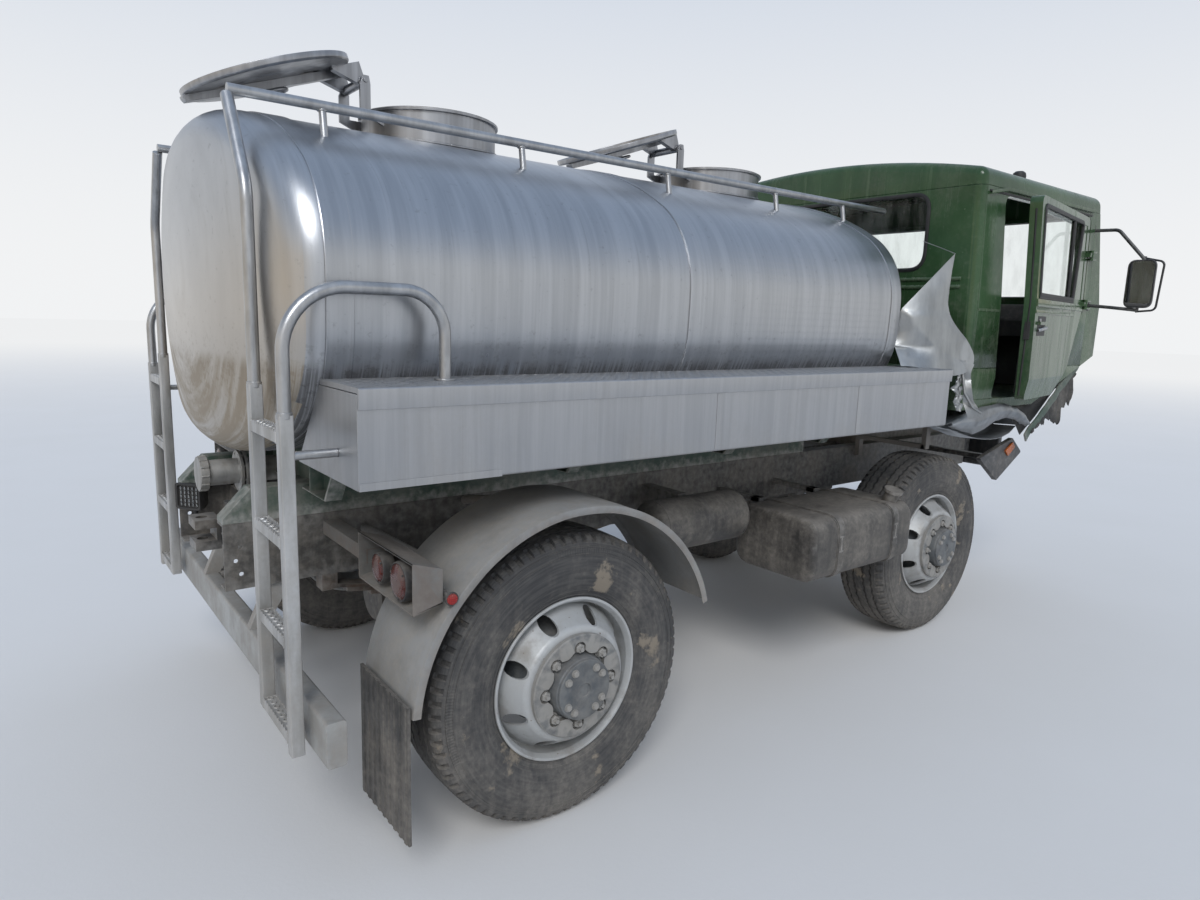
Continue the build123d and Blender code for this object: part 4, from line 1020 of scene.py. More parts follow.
def route(points, bend, steps=8):
    """A path through points in space, its corners rounded to arcs."""
    points = [Vector(p) for p in points]
    made = [points[0]]
    for back, here, ahead in zip(points, points[1:], points[2:]):
        to_back, to_ahead = (back - here), (ahead - here)
        half = to_back.angle(to_ahead) / 2
        reach = min(bend * cos(half) / sin(half), 0.49 * to_back.length, 0.49 * to_ahead.length)
        start, end = here + to_back.normalized() * reach, here + to_ahead.normalized() * reach
        for k in range(steps + 1):
            t = k / steps
            pull = 2 * t * (1 - t) * sin(half)
            made.append((start * (1 - t) ** 2 + here * pull + end * t ** 2) / ((1 - t) ** 2 + pull + t ** 2))
    return made + [points[-1]]


def ring_points(place, radius, count):
    """Points on a level circle."""
    return [Vector(place) + Vector((radius * cos(a), radius * sin(a), 0)) for a in turns(count)]


def circle(radius, steps=20):
    """A round outline."""
    return [(radius * cos(a), radius * sin(a)) for a in turns(steps)]


def swept(bm, path, outline, level=(0, 1, 0), closed=False, ripple=0.0):
    """An outline carried along a path, added to a bmesh; ripple swells it step by step."""
    rings = []
    across = Vector(level)
    last = len(path) - 1
    for k, spot in enumerate(path):
        back, ahead = path[max(k - 1, 0)], path[min(k + 1, last)]
        if closed:
            back, ahead = path[k - 1], path[(k + 1) % len(path)]
        along = (ahead - back).normalized()
        across = (across - along * across.dot(along)).normalized()
        other = along.cross(across)
        swell = 1.0 + ripple * (noise.noise(spot * 260.0) + (0.5 if k % 2 else -0.5))
        rings.append([bm.verts.new(spot + (across * u + other * v) * swell) for u, v in outline])
    loft(bm, rings + rings[:1] if closed else rings, ends=not closed)


def weld(bm, spots, size=0.004, closed=True):
    """A rippled weld bead along a path, added to a bmesh."""
    path = []
    for start, end in zip(spots, spots[1:] + spots[:1] if closed else spots[1:]):
        start, end = Vector(start), Vector(end)
        count = max(1, round((end - start).length / (size * 1.1)))
        path += [start.lerp(end, k / count) for k in range(count)]
    if not closed:
        path.append(Vector(spots[-1]))
    normal = Vector((0, 1, 0.3))
    if closed:
        normal = (path[len(path) // 3] - path[0]).cross(path[2 * len(path) // 3] - path[0])
    swept(bm, path, circle(size, 6), normal, closed, ripple=0.22)


def solid(name, bm, material, edge=0.0015, sharp=35, segments=2):
    """A finished piece from a bmesh, its sharp edges rounded."""
    bmesh.ops.remove_doubles(bm, verts=bm.verts, dist=1e-5)
    bmesh.ops.recalc_face_normals(bm, faces=bm.faces)
    made = new_object(name, mesh_of(bm, name, sharp), material)
    if edge:
        rounding = made.modifiers.new("eased", "BEVEL")
        rounding.width = edge
        rounding.segments = segments
        rounding.angle_limit = radians(sharp)
        rounding.harden_normals = True
    return settled(made)


def stainless(name, light, dark, roughness=0.32, streak=(24, 24, 1.4), dust=0.35, low=0.9, high=1.7,
              relief=0.0004):
    """Bare stainless or plated steel, streaked down by rain, with dust where it lies low."""
    made, tree, shader = new_material(name)
    runs = speckle(tree, place_on(tree, streak), 1.0, 6, 0.6)
    clouds = speckle(tree, place_on(tree), 3.0, 5, 0.6)
    tint = blend_colour(tree, rise(tree, runs, 0.30, 0.70), dark, light)
    tint = stained(tree, tint, clouds, 0.45, 0.8, 0.4, dark)
    dusty = use_group(tree, road_dust, Paint=tint, Dust=(0.25, 0.235, 0.21, 1), Amount=dust, Low=low,
                      High=high, Clean_Roughness=roughness)
    feed_all(tree, shader, Base_Color=dusty.outputs["Color"],
             Roughness=add_share(tree, dusty.outputs["Roughness"], clouds, 0.12),
             Metallic=minus(tree, 1.0, times(tree, dusty.outputs["Mask"], 0.9)))
    bump_from(tree, shader, add_share(tree, dusty.outputs["Relief"], clouds, 0.8), relief, 0.7)
    return made


lid_steel = stainless("lid_steel", (0.400, 0.405, 0.420, 1), (0.270, 0.272, 0.280, 1), 0.30, dust=0.25)
seal_rubber = weathered("seal_rubber", (0.35, 0.34, 0.31), (0.22, 0.21, 0.19), dust=0.3, wear=0.0,
                        roughness=0.7)


def neck(name, x):
    """A neck with its flange, seal, lugs and welds."""
    bm = bmesh.new()
    tank_z = tank_high.z - 0.045
    r = NECK_RADIUS
    line = [(r, tank_z - NECK_TOP), (r, -0.0115), (r + 0.0115, -0.010), (r + 0.012, -0.001), (r + 0.011, 0.0),
            (r - 0.007, 0.0), (r - 0.008, -0.001), (r - 0.008, tank_z - NECK_TOP)]
    lathe(bm, line, (x, 0, NECK_TOP), 96, closed=True)
    back = x - HINGE_BACK
    for y in (-0.115, 0.115):
        lug = [(back - 0.022, HINGE_Z - 0.018), (back - 0.008, HINGE_Z + 0.018),
               (back + 0.014, HINGE_Z + 0.018), (back + 0.020, HINGE_Z - 0.012),
               (back + 0.020, NECK_TOP - 0.016), (x - r + 0.030, NECK_TOP - 0.016),
               (x - r + 0.030, NECK_TOP - 0.070), (back - 0.022, NECK_TOP - 0.030)]
        prism(bm, lug, "y", y - 0.006, y + 0.006)
    ring = [(x + (r + 0.003) * cos(a), (r + 0.003) * sin(a),
             tank_high.z + 0.004 - 0.5 * (r * sin(a)) ** 2 / 1.5) for a in turns(48)]
    weld(bm, ring, 0.005)
    body = solid(name, bm, lid_steel, 0.0012)
    bm = bmesh.new()
    lathe(bm, [(r - 0.008, -0.004), (r - 0.008, 0.002), (r - 0.003, 0.0040), (r + 0.004, 0.0035),
               (r + 0.006, 0.0), (r + 0.002, -0.003)], (x, 0, NECK_TOP), 96, closed=True)
    return joined(name + "_set", body, solid(name + "_seal", bm, seal_rubber, 0))


necks = [neck("neck_" + place, rear_x + x) for place, x in zip(("rear", "front"), HATCHES)]
fit(joined("manhole_rings", *necks), None, "chassis", "tank_steel", "manhole_necks")

# The lids are pressed dishes with a rolled rim and a rubber ring inside, held by a
# strong-back bar with a hand ring in its middle, and they swing on a pin in the lugs. Both
# lie thrown right over to the rear, so that they are drawn shut and then turned.
LID_OPEN = radians(200)
GRIP_RADIUS = 0.053
GRIP_Z = NECK_TOP + 0.060


def lid(name, x, body, node):
    """A lid with its dish, bar, hand ring and hinge knuckle, turned open."""
    top = NECK_TOP + 0.019
    bm = bmesh.new()
    line = [(0.0, 0.007, 0), (0.120, 0.007), (0.135, 0.003, 0.01), (0.190, 0.003, 0.01),
            (0.205, 0.007, 0.01), (0.268, 0.007, 0.003), (0.272, 0.0066), (0.283, 0.0066),
            (0.287, 0.007, 0.003), (0.2995, 0.007, 0.002), (0.3005, -0.007, 0.002), (0.3095, -0.007, 0.002),
            (0.310, 0.012, 0.004), (0.303, 0.019, 0.004), (0.205, 0.019, 0.01), (0.190, 0.0155, 0.01),
            (0.135, 0.0155, 0.01), (0.120, 0.019, 0.01), (0.0, 0.019, 0)]
    lathe(bm, rounded_path(line, steps=3), (x, 0, NECK_TOP), 96)
    hinge = (x - HINGE_BACK, 0, HINGE_Z)
    r = NECK_RADIUS
    bar_side = [(hinge[0] - 0.006, top + 0.004), (hinge[0] - 0.006, top + 0.030), (x - 0.10, top + 0.030),
                (x + 0.10, top + 0.030), (x + r + 0.034, top + 0.022), (x + r + 0.040, top + 0.010),
                (x + r + 0.040, top), (x - r + 0.02, top)]
    prism(bm, bar_side, "y", -0.022, 0.022)
    for side in (-1, 1):
        arm = [(hinge[0] - 0.010, top), (hinge[0] - 0.010, HINGE_Z + 0.004),
               (hinge[0] + 0.008, HINGE_Z + 0.010), (hinge[0] + 0.022, HINGE_Z + 0.004),
               (x - r + 0.060, top + 0.012), (x - r + 0.060, top)]
        prism(bm, arm, "y", side * 0.081 - 0.015, side * 0.081 + 0.015)
        weld(bm, [(x - r + 0.060, side * 0.096, top), (hinge[0] + 0.05, side * 0.096, top)], 0.003,
             closed=False)
    bar(bm, (hinge[0], -0.100, HINGE_Z), (hinge[0], 0.100, HINGE_Z), 0.018, 32)
    bar(bm, (hinge[0], -0.126, HINGE_Z), (hinge[0], 0.126, HINGE_Z), 0.009, 24)
    swept(bm, ring_points((x, 0, GRIP_Z), GRIP_RADIUS, 40), circle(0.007, 12), (0, 0, 1), closed=True)
    for spot in ring_points((x, 0, GRIP_Z), GRIP_RADIUS, 3):
        bar(bm, (x, 0, GRIP_Z), spot, 0.0055, 12)
    bar(bm, (x, 0, top + 0.028), (x, 0, NECK_TOP + 0.064), 0.012, 24)
    bar(bm, (x, 0, top + 0.028), (x, 0, top + 0.036), 0.019, 6)
    dish = solid(name + "_dish", bm, lid_steel, 0.0012)
    bm = bmesh.new()
    lathe(bm, [(0.2725, 0.0070), (0.2735, 0.0048), (0.2815, 0.0048), (0.2825, 0.0070)], (x, 0, NECK_TOP), 96,
          closed=True)
    whole = joined(name, dish, solid(name + "_ring", bm, seal_rubber, 0))
    swing = Matrix.Translation(hinge) @ Matrix.Rotation(-LID_OPEN, 4, "Y")
    whole.data.transform(swing @ Matrix.Translation(-Vector(hinge)))
    return fit(whole, None, body, "lid_steel", node)


lid("manhole_lid_rear", rear_x + HATCHES[0], "rear_lid", "lid_rear")
lid("manhole_lid_front", rear_x + HATCHES[1], "front_lid", "lid_front")

# Hand rails of stainless tube run along the tank's top on short posts, each welded to the
# tube from below. The tube's ends are closed and a little rounded.
RAIL_Y = 0.600
RAIL_Z = 2.428
RAIL_RADIUS = 0.017
RAIL_ENDS = (rear_x - 0.903, rear_x + 2.540)
RAIL_POSTS = (-0.620, 0.130, 0.880, 1.600, 2.150)
rail_steel = stainless("rail_steel", (0.480, 0.485, 0.490, 1), (0.340, 0.342, 0.345, 1), 0.30,
                       streak=(30, 30, 8), dust=0.2)
bm = bmesh.new()
for side in (-1, 1):
    y = side * RAIL_Y
    path = [Vector((RAIL_ENDS[0] + (RAIL_ENDS[1] - RAIL_ENDS[0]) * k / 40, y, RAIL_Z)) for k in range(41)]
    swept(bm, path, circle(RAIL_RADIUS - 0.0005, 20))
    for x in RAIL_POSTS:
        bar(bm, (rear_x + x, y, RAIL_Z), (rear_x + x, side * (RAIL_Y + 0.020), 2.310), 0.012, 20)
        weld(bm, [(rear_x + x + 0.0145 * cos(a), y + 0.0145 * sin(a), RAIL_Z - 0.0115 - 0.004 * abs(sin(a)))
                  for a in turns(12)], 0.003)
rails = solid("tank_hand_rails", bm, rail_steel, 0.003)
fit(rails, rail_steel, "chassis", "rail_steel", "top_rails")

# Each rear ladder has two stainless rails. The outer one bends over the side box as a round
# hoop, and the inner one goes up to the hand rail. Its treads are folded channels with a
# serrated top. A short tube ties the outer rail to the box.
LADDER_X = rear_x - 0.903
LADDER_RAILS = (0.770, 1.065)
LADDER_FOOT = 0.500
RUNGS = (0.550, 0.845, 1.140, 1.440)
BOX_LID_TOP = 1.584
HOOP_TOP = 1.850
HOOP_REACH = 0.480
HOOP_TUBE = 0.0185
RAIL_HALF = 0.0195
ladder_steel = stainless("ladder_steel", (0.58, 0.58, 0.575, 1), (0.38, 0.375, 0.36, 1), 0.42,
                         streak=(16, 16, 3), dust=0.55, low=0.3, high=1.7)


def tread(bm, side, z):
    """One tread: a folded channel with saw-toothed top edges and a row of raised holes."""
    y0, y1 = LADDER_RAILS[0] + 0.016, LADDER_RAILS[1] - 0.016
    for x0, x1 in ((-0.020, -0.0175), (0.0175, 0.020)):
        teeth = 12
        outline = [(side * y0, z - 0.018), (side * y0, z + 0.012)]
        for k in range(teeth):
            for share, height in ((0.15, 0.012), (0.4, 0.0178), (0.65, 0.0178), (0.9, 0.012)):
                outline.append((side * (y0 + (y1 - y0) * (k + share) / teeth), z + height))
        outline += [(side * y1, z + 0.012), (side * y1, z - 0.018)]
        prism(bm, outline, "x", LADDER_X + x0, LADDER_X + x1)
    slab(bm, (LADDER_X - 0.0195, side * y0, z + 0.0085), (LADDER_X + 0.0195, side * y1, z + 0.0115))
    for k in range(8):
        spot = (LADDER_X, side * (y0 + (y1 - y0) * (k + 0.5) / 8), z + 0.011)
        lathe(bm, [(0.011, 0.0), (0.0085, 0.0045), (0.0065, 0.0045), (0.0065, -0.003)], spot, 14)


def square(half, corner=0.004):
    """A square outline with rounded corners."""
    corners = [(half, half, corner), (-half, half, corner), (-half, -half, corner), (half, -half, corner)]
    return rounded_path(corners, closed=True, steps=3)


bm = bmesh.new()
hoops = bmesh.new()
for side in (-1, 1):
    inner, outer = (side * y for y in LADDER_RAILS)
    over = LADDER_X + HOOP_REACH
    swept(bm, [Vector((LADDER_X, outer, z)) for z in (LADDER_FOOT, 1.20, 1.50)], square(RAIL_HALF))
    swept(bm, [Vector((LADDER_X, inner, z)) for z in (LADDER_FOOT + 0.030, 1.20, 1.56)], square(RAIL_HALF))
    hoop = route([(LADDER_X, outer, 1.48), (LADDER_X, outer, HOOP_TOP), (over, outer, HOOP_TOP),
                  (over, outer, BOX_LID_TOP)], 0.232, 14)
    swept(hoops, hoop, circle(HOOP_TUBE, 20))
    swan_neck = route([(LADDER_X, inner, 1.54), (LADDER_X, inner, 2.130),
                       (LADDER_X, side * RAIL_Y, RAIL_Z - RAIL_RADIUS)], 0.160, 10)
    swept(hoops, swan_neck, circle(HOOP_TUBE, 20), (1, 0, 0))
    bar(hoops, (over, outer, BOX_LID_TOP), (over, outer, BOX_LID_TOP + 0.006), 0.034, 24)
    for y, z in ((outer, 1.490), (inner, 1.550)):
        bar(hoops, (LADDER_X, y, z), (LADDER_X, y, z + 0.018), 0.0215, 24)
    tie = outer - side * 0.005
    bar(hoops, (LADDER_X, tie, 1.385), (rear_x - 0.760, tie, 1.385), 0.013, 20)
    for z in RUNGS:
        tread(bm, side, z)
        corners = ((-RAIL_HALF, z - 0.018), (RAIL_HALF, z - 0.018), (RAIL_HALF, z + 0.012),
                   (-RAIL_HALF, z + 0.012))
        for y in (inner + side * RAIL_HALF, outer - side * RAIL_HALF):
            weld(bm, [(LADDER_X + u, y, height) for u, height in corners], 0.003)
rails_below = solid("ladder_rails", bm, ladder_steel, 0.0008)
rails_above = solid("ladder_hoops", hoops, rail_steel, 0.0015)
fit(joined("rear_ladders", rails_below, rails_above), None, "chassis", "rail_steel", "ladders")

# The side boxes are folded from brushed stainless sheet along the tank's flanks. Their
# chequer-plate lids have a deep skirt, and welded straps cover the panel seams on the sides.
BOX_OUT = 1.220
BOX_BOTTOM = 1.300
BOX_TOP = 1.570
BOX_REAR = rear_x - 0.760
BOX_FRONT = rear_x + 2.300
SKIRT_DROP = 0.046
BOX_SEAMS = (0.62, 1.52)
box_steel, tree, shader = new_material("box_steel")
down = speckle(tree, place_on(tree, (34, 34, 1.3)), 1.0, 6, 0.62)
thin = speckle(tree, place_on(tree, (150, 150, 2.0)), 1.0, 4, 0.6)
smudge = speckle(tree, place_on(tree), 4.2, 6, 0.62)
tint = blend_colour(tree, rise(tree, down, 0.30, 0.70), (0.390, 0.395, 0.405, 1), (0.450, 0.455, 0.465, 1))
tint = stained(tree, tint, thin, 0.50, 0.75, 0.22, (0.285, 0.282, 0.278, 1))
tint = stained(tree, tint, smudge, 0.52, 0.78, 0.20, (0.300, 0.297, 0.290, 1))
dusty = use_group(tree, road_dust, Paint=tint, Dust=(0.24, 0.225, 0.20, 1), Amount=0.30, Low=1.22, High=1.45,
                  Clean_Roughness=0.34)
feed_all(tree, shader, Base_Color=dusty.outputs["Color"],
         Roughness=add_share(tree, dusty.outputs["Roughness"], down, 0.10),
         Metallic=minus(tree, 1.0, times(tree, dusty.outputs["Mask"], 0.85)))
long_wave = speckle(tree, place_on(tree, (1.0, 1.0, 0.6)), 5.0, 2, 0.5)
bump_from(tree, shader, add_share(tree, times(tree, long_wave, 3.0), thin, 0.12), 0.0012, 0.6)


def tank_reach(z):
    """How far the tank's skin stands out at a height."""
    best = 0.0
    for (y0, z0), (y1, z1) in zip(section, section[1:]):
        low, high = sorted((z0, z1))
        if low <= z - WAIST_Z <= high and z1 != z0:
            best = max(best, abs(y0 + (y1 - y0) * (z - WAIST_Z - z0) / (z1 - z0)))
    return best


def box_body(side):
    """One box with its skirted lid, along one side of the tank."""
    bm = bmesh.new()
    behind, skirt = tank_reach(BOX_TOP) - 0.004, BOX_TOP - SKIRT_DROP
    outline = [(BOX_OUT, BOX_BOTTOM, 0.010), (BOX_OUT, BOX_TOP - 0.004), (behind, BOX_TOP - 0.004),
               (0.700, BOX_BOTTOM)]
    lid_line = [(BOX_OUT + 0.001, skirt), (BOX_OUT + 0.010, skirt, 0.002),
                (BOX_OUT + 0.012, BOX_LID_TOP, 0.006), (behind, BOX_LID_TOP), (behind, BOX_TOP - 0.002),
                (BOX_OUT + 0.001, BOX_TOP - 0.002)]
    for line, inset in ((outline, 0.0), (lid_line, 0.001)):
        line = [(side * y, z) for y, z in rounded_path(line, closed=True, steps=4)]
        prism(bm, line, "x", BOX_REAR + inset, BOX_FRONT - inset)
    body = solid("box_body", bm, box_steel, 0.0012, sharp=30)
    bm = bmesh.new()
    for x in BOX_SEAMS:
        slab(bm, (rear_x + x, side * (BOX_OUT - 0.002), BOX_BOTTOM + 0.008),
             (rear_x + x + 0.030, side * (BOX_OUT + 0.0016), skirt - 0.001))
    slab(bm, (BOX_REAR + 0.002, side * (BOX_OUT - 0.060), BOX_BOTTOM - 0.0005),
         (BOX_REAR + 0.45, side * (BOX_OUT + 0.002), BOX_BOTTOM + 0.022))
    for x in (BOX_REAR - 0.0005, BOX_FRONT - 0.0025):
        rim_line = [(BOX_OUT - 0.001, BOX_BOTTOM + 0.003), (BOX_OUT - 0.001, skirt - 0.002),
                    (BOX_OUT - 0.024, skirt - 0.002), (BOX_OUT - 0.024, BOX_BOTTOM + 0.003)]
        prism(bm, [(side * y, z) for y, z in rim_line], "x", x, x + 0.003)
    return joined("box_" + str(side), body, solid("box_straps", bm, box_steel, 0.0008))


# Raised lozenges in two directions by turns, set over the lid from a grid of points
chequer_inputs = [("Item", "Object", None), ("Length", "Float", 1.0), ("Width", "Float", 1.0),
                  ("Pitch", "Float", 0.03), ("Middle", "Vector", (0, 0, 0)), ("Finish", "Material", None)]
lozenges, inside, outside = growth_tree("lozenges", chequer_inputs)
count_x = calc(lozenges, "DIVIDE", inside.outputs["Length"], inside.outputs["Pitch"])
count_y = calc(lozenges, "DIVIDE", inside.outputs["Width"], inside.outputs["Pitch"])
field = grow(lozenges, "GeometryNodeMeshGrid", Size_X=inside.outputs["Length"],
             Size_Y=inside.outputs["Width"], Vertices_X=count_x, Vertices_Y=count_y)
number = lozenges.nodes.new("GeometryNodeInputIndex").outputs[0]
whole_y = calc(lozenges, "FLOOR", count_y)
column = calc(lozenges, "FLOOR", calc(lozenges, "DIVIDE", number, whole_y))
both = plus(lozenges, column, calc(lozenges, "MODULO", number, whole_y))
lean = plus(lozenges, times(lozenges, calc(lozenges, "MODULO", both, 2.0), pi / 2), pi / 4)
piece = grow(lozenges, "GeometryNodeObjectInfo", Object=inside.outputs["Item"])
laid = grow(lozenges, "GeometryNodeInstanceOnPoints", Points=field.outputs["Mesh"],
            Instance=piece.outputs["Geometry"], Rotation=shade(lozenges, "CombineXYZ", Z=lean).outputs[0])
shifted = grow(lozenges, "GeometryNodeTransform", Geometry=laid.outputs["Instances"],
               Translation=inside.outputs["Middle"])
real = grow(lozenges, "GeometryNodeRealizeInstances", Geometry=shifted.outputs["Geometry"])
set_finish = grow(lozenges, "GeometryNodeSetMaterial", Geometry=real.outputs["Geometry"],
                  Material=inside.outputs["Finish"])
lozenges.links.new(set_finish.outputs["Geometry"], outside.inputs["Geometry"])

bm = bmesh.new()
half_long, half_wide, proud = 0.0125, 0.0045, 0.0018
low_ring = [bm.verts.new(p)
            for p in ((half_long, 0, 0), (0, half_wide, 0), (-half_long, 0, 0), (0, -half_wide, 0))]
ridge = [bm.verts.new((half_long * 0.5, 0, proud)), bm.verts.new((-half_long * 0.5, 0, proud))]
bm.faces.new((low_ring[0], low_ring[1], ridge[1], ridge[0]))
bm.faces.new((low_ring[2], low_ring[3], ridge[0], ridge[1]))
bm.faces.new((low_ring[1], low_ring[2], ridge[1]))
bm.faces.new((low_ring[3], low_ring[0], ridge[0]))
lozenge = new_object("lozenge", mesh_of(bm, "lozenge", 60))
boxes = []
for side in (-1, 1):
    lid_width = BOX_OUT - tank_reach(BOX_LID_TOP) - 0.020
    middle = ((BOX_REAR + BOX_FRONT) / 2, side * (BOX_OUT - 0.004 - lid_width / 2), BOX_LID_TOP - 0.0002)
    pattern = grown("chequer", lozenges, Item=lozenge, Length=BOX_FRONT - BOX_REAR - 0.04, Width=lid_width,
                    Pitch=0.026, Middle=middle, Finish=box_steel)
    boxes += [box_body(side), pattern]
bpy.data.objects.remove(lozenge)
fit(joined("side_lockers", *boxes), None, "chassis", "box_steel", "side_boxes")

# The under-run bar is a light grey steel box section with rounded corners, on two plate
# arms that come down from the frame.
bar_grey = weathered("bar_grey", (0.36, 0.37, 0.365), (0.27, 0.27, 0.26), dust=0.55, low=0.3, high=1.3,
                     wear=0.35, metal=(0.14, 0.09, 0.06))
BAR_REAR = rear_x - 0.860
bm = bmesh.new()
beam = rounded_path([(BAR_REAR, 0.498, 0.012), (BAR_REAR + 0.060, 0.498, 0.012),
                     (BAR_REAR + 0.060, 0.638, 0.012), (BAR_REAR, 0.638, 0.012)], closed=True, steps=5)
prism(bm, beam, "y", -1.200, 1.200)
for side in (-1, 1):
    slab(bm, (BAR_REAR + 0.059, side * 0.320, 0.520), (BAR_REAR + 0.100, side * 0.380, 0.640))
    arm = [(BAR_REAR, 0.636), (BAR_REAR + 0.060, 0.636), (BAR_REAR + 0.160, 0.800), (BAR_REAR + 0.070, 0.800)]
    prism(bm, arm, "y", side * 0.385, side * 0.345)
fit(solid("under_run_bar", bm, bar_grey, 0.002), None, "chassis", "bracket_grey", "underrun_bar")

# The rear lamps sit in pressed steel boxes, open to the rear, on channel arms from the
# frame. Each box holds two round lamps, and a round red marker stands at its outer end.
bracket_grey = weathered("bracket_grey", (0.17, 0.175, 0.17), (0.10, 0.10, 0.095), dust=0.75, low=0.3,
                         high=1.5, wear=0.4, metal=(0.13, 0.075, 0.045))
lamp_black = weathered("lamp_black", (0.020, 0.020, 0.021), (0.040, 0.038, 0.036), dust=0.45, low=0.3,
                       high=1.5, wear=0.0)


def lens(name, colour, second, through=0.35):
    """A moulded plastic lens with small prisms behind a smooth face."""
    made, tree, shader = new_material(name)
    place = place_on(tree, (150, 150, 150))
    cells = shade(tree, "TexVoronoi", {"distance": "CHEBYCHEV"}, Vector=place, Scale=1.0, Randomness=0.0)
    prisms = cells.outputs["Distance"]
    tint = blend_colour(tree, rise(tree, prisms, 0.1, 0.5), colour, second)
    film = rise(tree, speckle(tree, place_on(tree), 16.0, 6), 0.40, 0.75, 0.0, 0.5)
    feed_all(tree, shader, Base_Color=blend_colour(tree, film, tint, (0.20, 0.18, 0.155, 1)),
             Roughness=add_share(tree, 0.12, film, 0.7), Transmission_Weight=through)
    bump_from(tree, shader, prisms, 0.0008, 0.4)
    return made


red_lens = lens("red_lens", (0.55, 0.02, 0.015, 1), (0.28, 0.008, 0.006, 1))
dark_lens = lens("dark_lens", (0.16, 0.03, 0.02, 1), (0.06, 0.015, 0.012, 1), 0.2)
orange_lens = lens("orange_lens", (0.85, 0.22, 0.02, 1), (0.55, 0.11, 0.01, 1))
clear_lens = lens("clear_lens", (0.75, 0.77, 0.78, 1), (0.50, 0.52, 0.53, 1), 0.6)


def along_x(bm, profile, centre, facing=-1, steps=48):
    """A path of (radius, reach) turned about an axis along the lorry, from a centre."""
    made = lathe(bm, profile, (0, 0, 0), steps)
    turn = Matrix.Translation(centre) @ Matrix.Rotation(facing * pi / 2, 4, "Y")
    bmesh.ops.transform(bm, matrix=turn, verts=made)


def along_y(bm, profile, centre, side, steps=48):
    """A path of (radius, reach) turned about an axis across the lorry, from a centre."""
    made = lathe(bm, profile, (0, 0, 0), steps)
    turn = Matrix.Translation(centre) @ Matrix.Rotation(-side * pi / 2, 4, "X")
    bmesh.ops.transform(bm, matrix=turn, verts=made)


arms, housings, lenses, markers = bmesh.new(), bmesh.new(), bmesh.new(), bmesh.new()
LAMP_REAR, LAMP_FRONT, LAMP_Z = rear_x - 0.615, rear_x - 0.520, 0.995
for side in (-1, 1):
    mouth = [(LAMP_REAR, 0.917), (LAMP_REAR, 1.076), (LAMP_FRONT, 1.046), (LAMP_FRONT, 0.940)]
    roof = [(LAMP_REAR, 1.076), (LAMP_FRONT, 1.046), (LAMP_FRONT, 1.042), (LAMP_REAR, 1.072)]
    sole = [(LAMP_REAR, 0.917), (LAMP_FRONT, 0.940), (LAMP_FRONT, 0.944), (LAMP_REAR, 0.921)]
    lip = [(LAMP_REAR, 1.076), (LAMP_REAR, 1.070), (LAMP_REAR + 0.003, 1.070), (LAMP_REAR + 0.003, 1.075)]
    for outline, y0, y1 in ((roof, 0.820, 1.240), (sole, 0.820, 1.240), (lip, 0.824, 1.236),
                            (mouth, 0.820, 0.824), (mouth, 1.236, 1.240)):
        prism(arms, outline, "y", side * y0, side * y1)
    slab(arms, (LAMP_FRONT - 0.004, side * 0.820, 0.940), (LAMP_FRONT, side * 1.240, 1.046))
    channel = [(-0.590, 0.960), (-0.590, 1.010), (-0.530, 1.010), (-0.530, 0.960), (-0.535, 0.960),
               (-0.535, 1.005), (-0.585, 1.005), (-0.585, 0.960)]
    prism(arms, [(rear_x + x, z) for x, z in channel], "y", side * 0.400, side * 0.825)
    slab(arms, (rear_x - 0.525, side * 1.190, 0.945), (rear_x - 0.491, side * 1.206, 0.965))
    bar(arms, (rear_x - 0.500, side * 1.200, 0.955), (rear_x - 0.500, side * 1.256, 0.955), 0.008, 16)
    for y, radius in ((1.140, 0.0615), (0.985, 0.0495)):
        spot = (LAMP_FRONT - 0.003, side * y, LAMP_Z)
        along_x(housings, [(0.0, 0.0), (radius * 0.6, 0.0), (radius * 0.6, 0.050), (radius * 0.98, 0.053),
                           (radius, 0.058), (radius, 0.086), (radius * 0.97, 0.093), (radius * 0.91, 0.095),
                           (radius * 0.88, 0.089), (0.0, 0.089)], spot)
        along_x(lenses, [(radius * 0.885, 0.0893), (radius * 0.87, 0.094), (radius * 0.7, 0.0985),
                         (radius * 0.4, 0.1005), (0.0, 0.101)], spot)
        for angle in turns(3):
            across, upward = radius * 0.80 * cos(angle + 0.4), radius * 0.80 * sin(angle + 0.4)
            y_screw, z_screw = side * y + across, LAMP_Z + upward
            bar(housings, (LAMP_FRONT - 0.092, y_screw, z_screw), (LAMP_FRONT - 0.1015, y_screw, z_screw),
                0.004, 10)
    spot = (rear_x - 0.500, side * 1.2545, 0.955)
    along_y(housings, [(0.0, 0.0), (0.0215, 0.0), (0.0215, 0.0045), (0.018, 0.0065), (0.0, 0.0065)], spot,
            side, 32)
    along_y(markers, [(0.0175, 0.0063), (0.016, 0.0100), (0.010, 0.0123), (0.0, 0.0130)], spot, side, 32)
pieces = [solid("arms", arms, bracket_grey, 0.0012), solid("housings", housings, lamp_black, 0.001),
          solid("lamp_lenses", lenses, dark_lens, 0), solid("marker_lenses", markers, red_lens, 0)]
fit(joined("rear_lamp_arms", *pieces), None, "chassis", "lamp_glass", "rear_lamps")

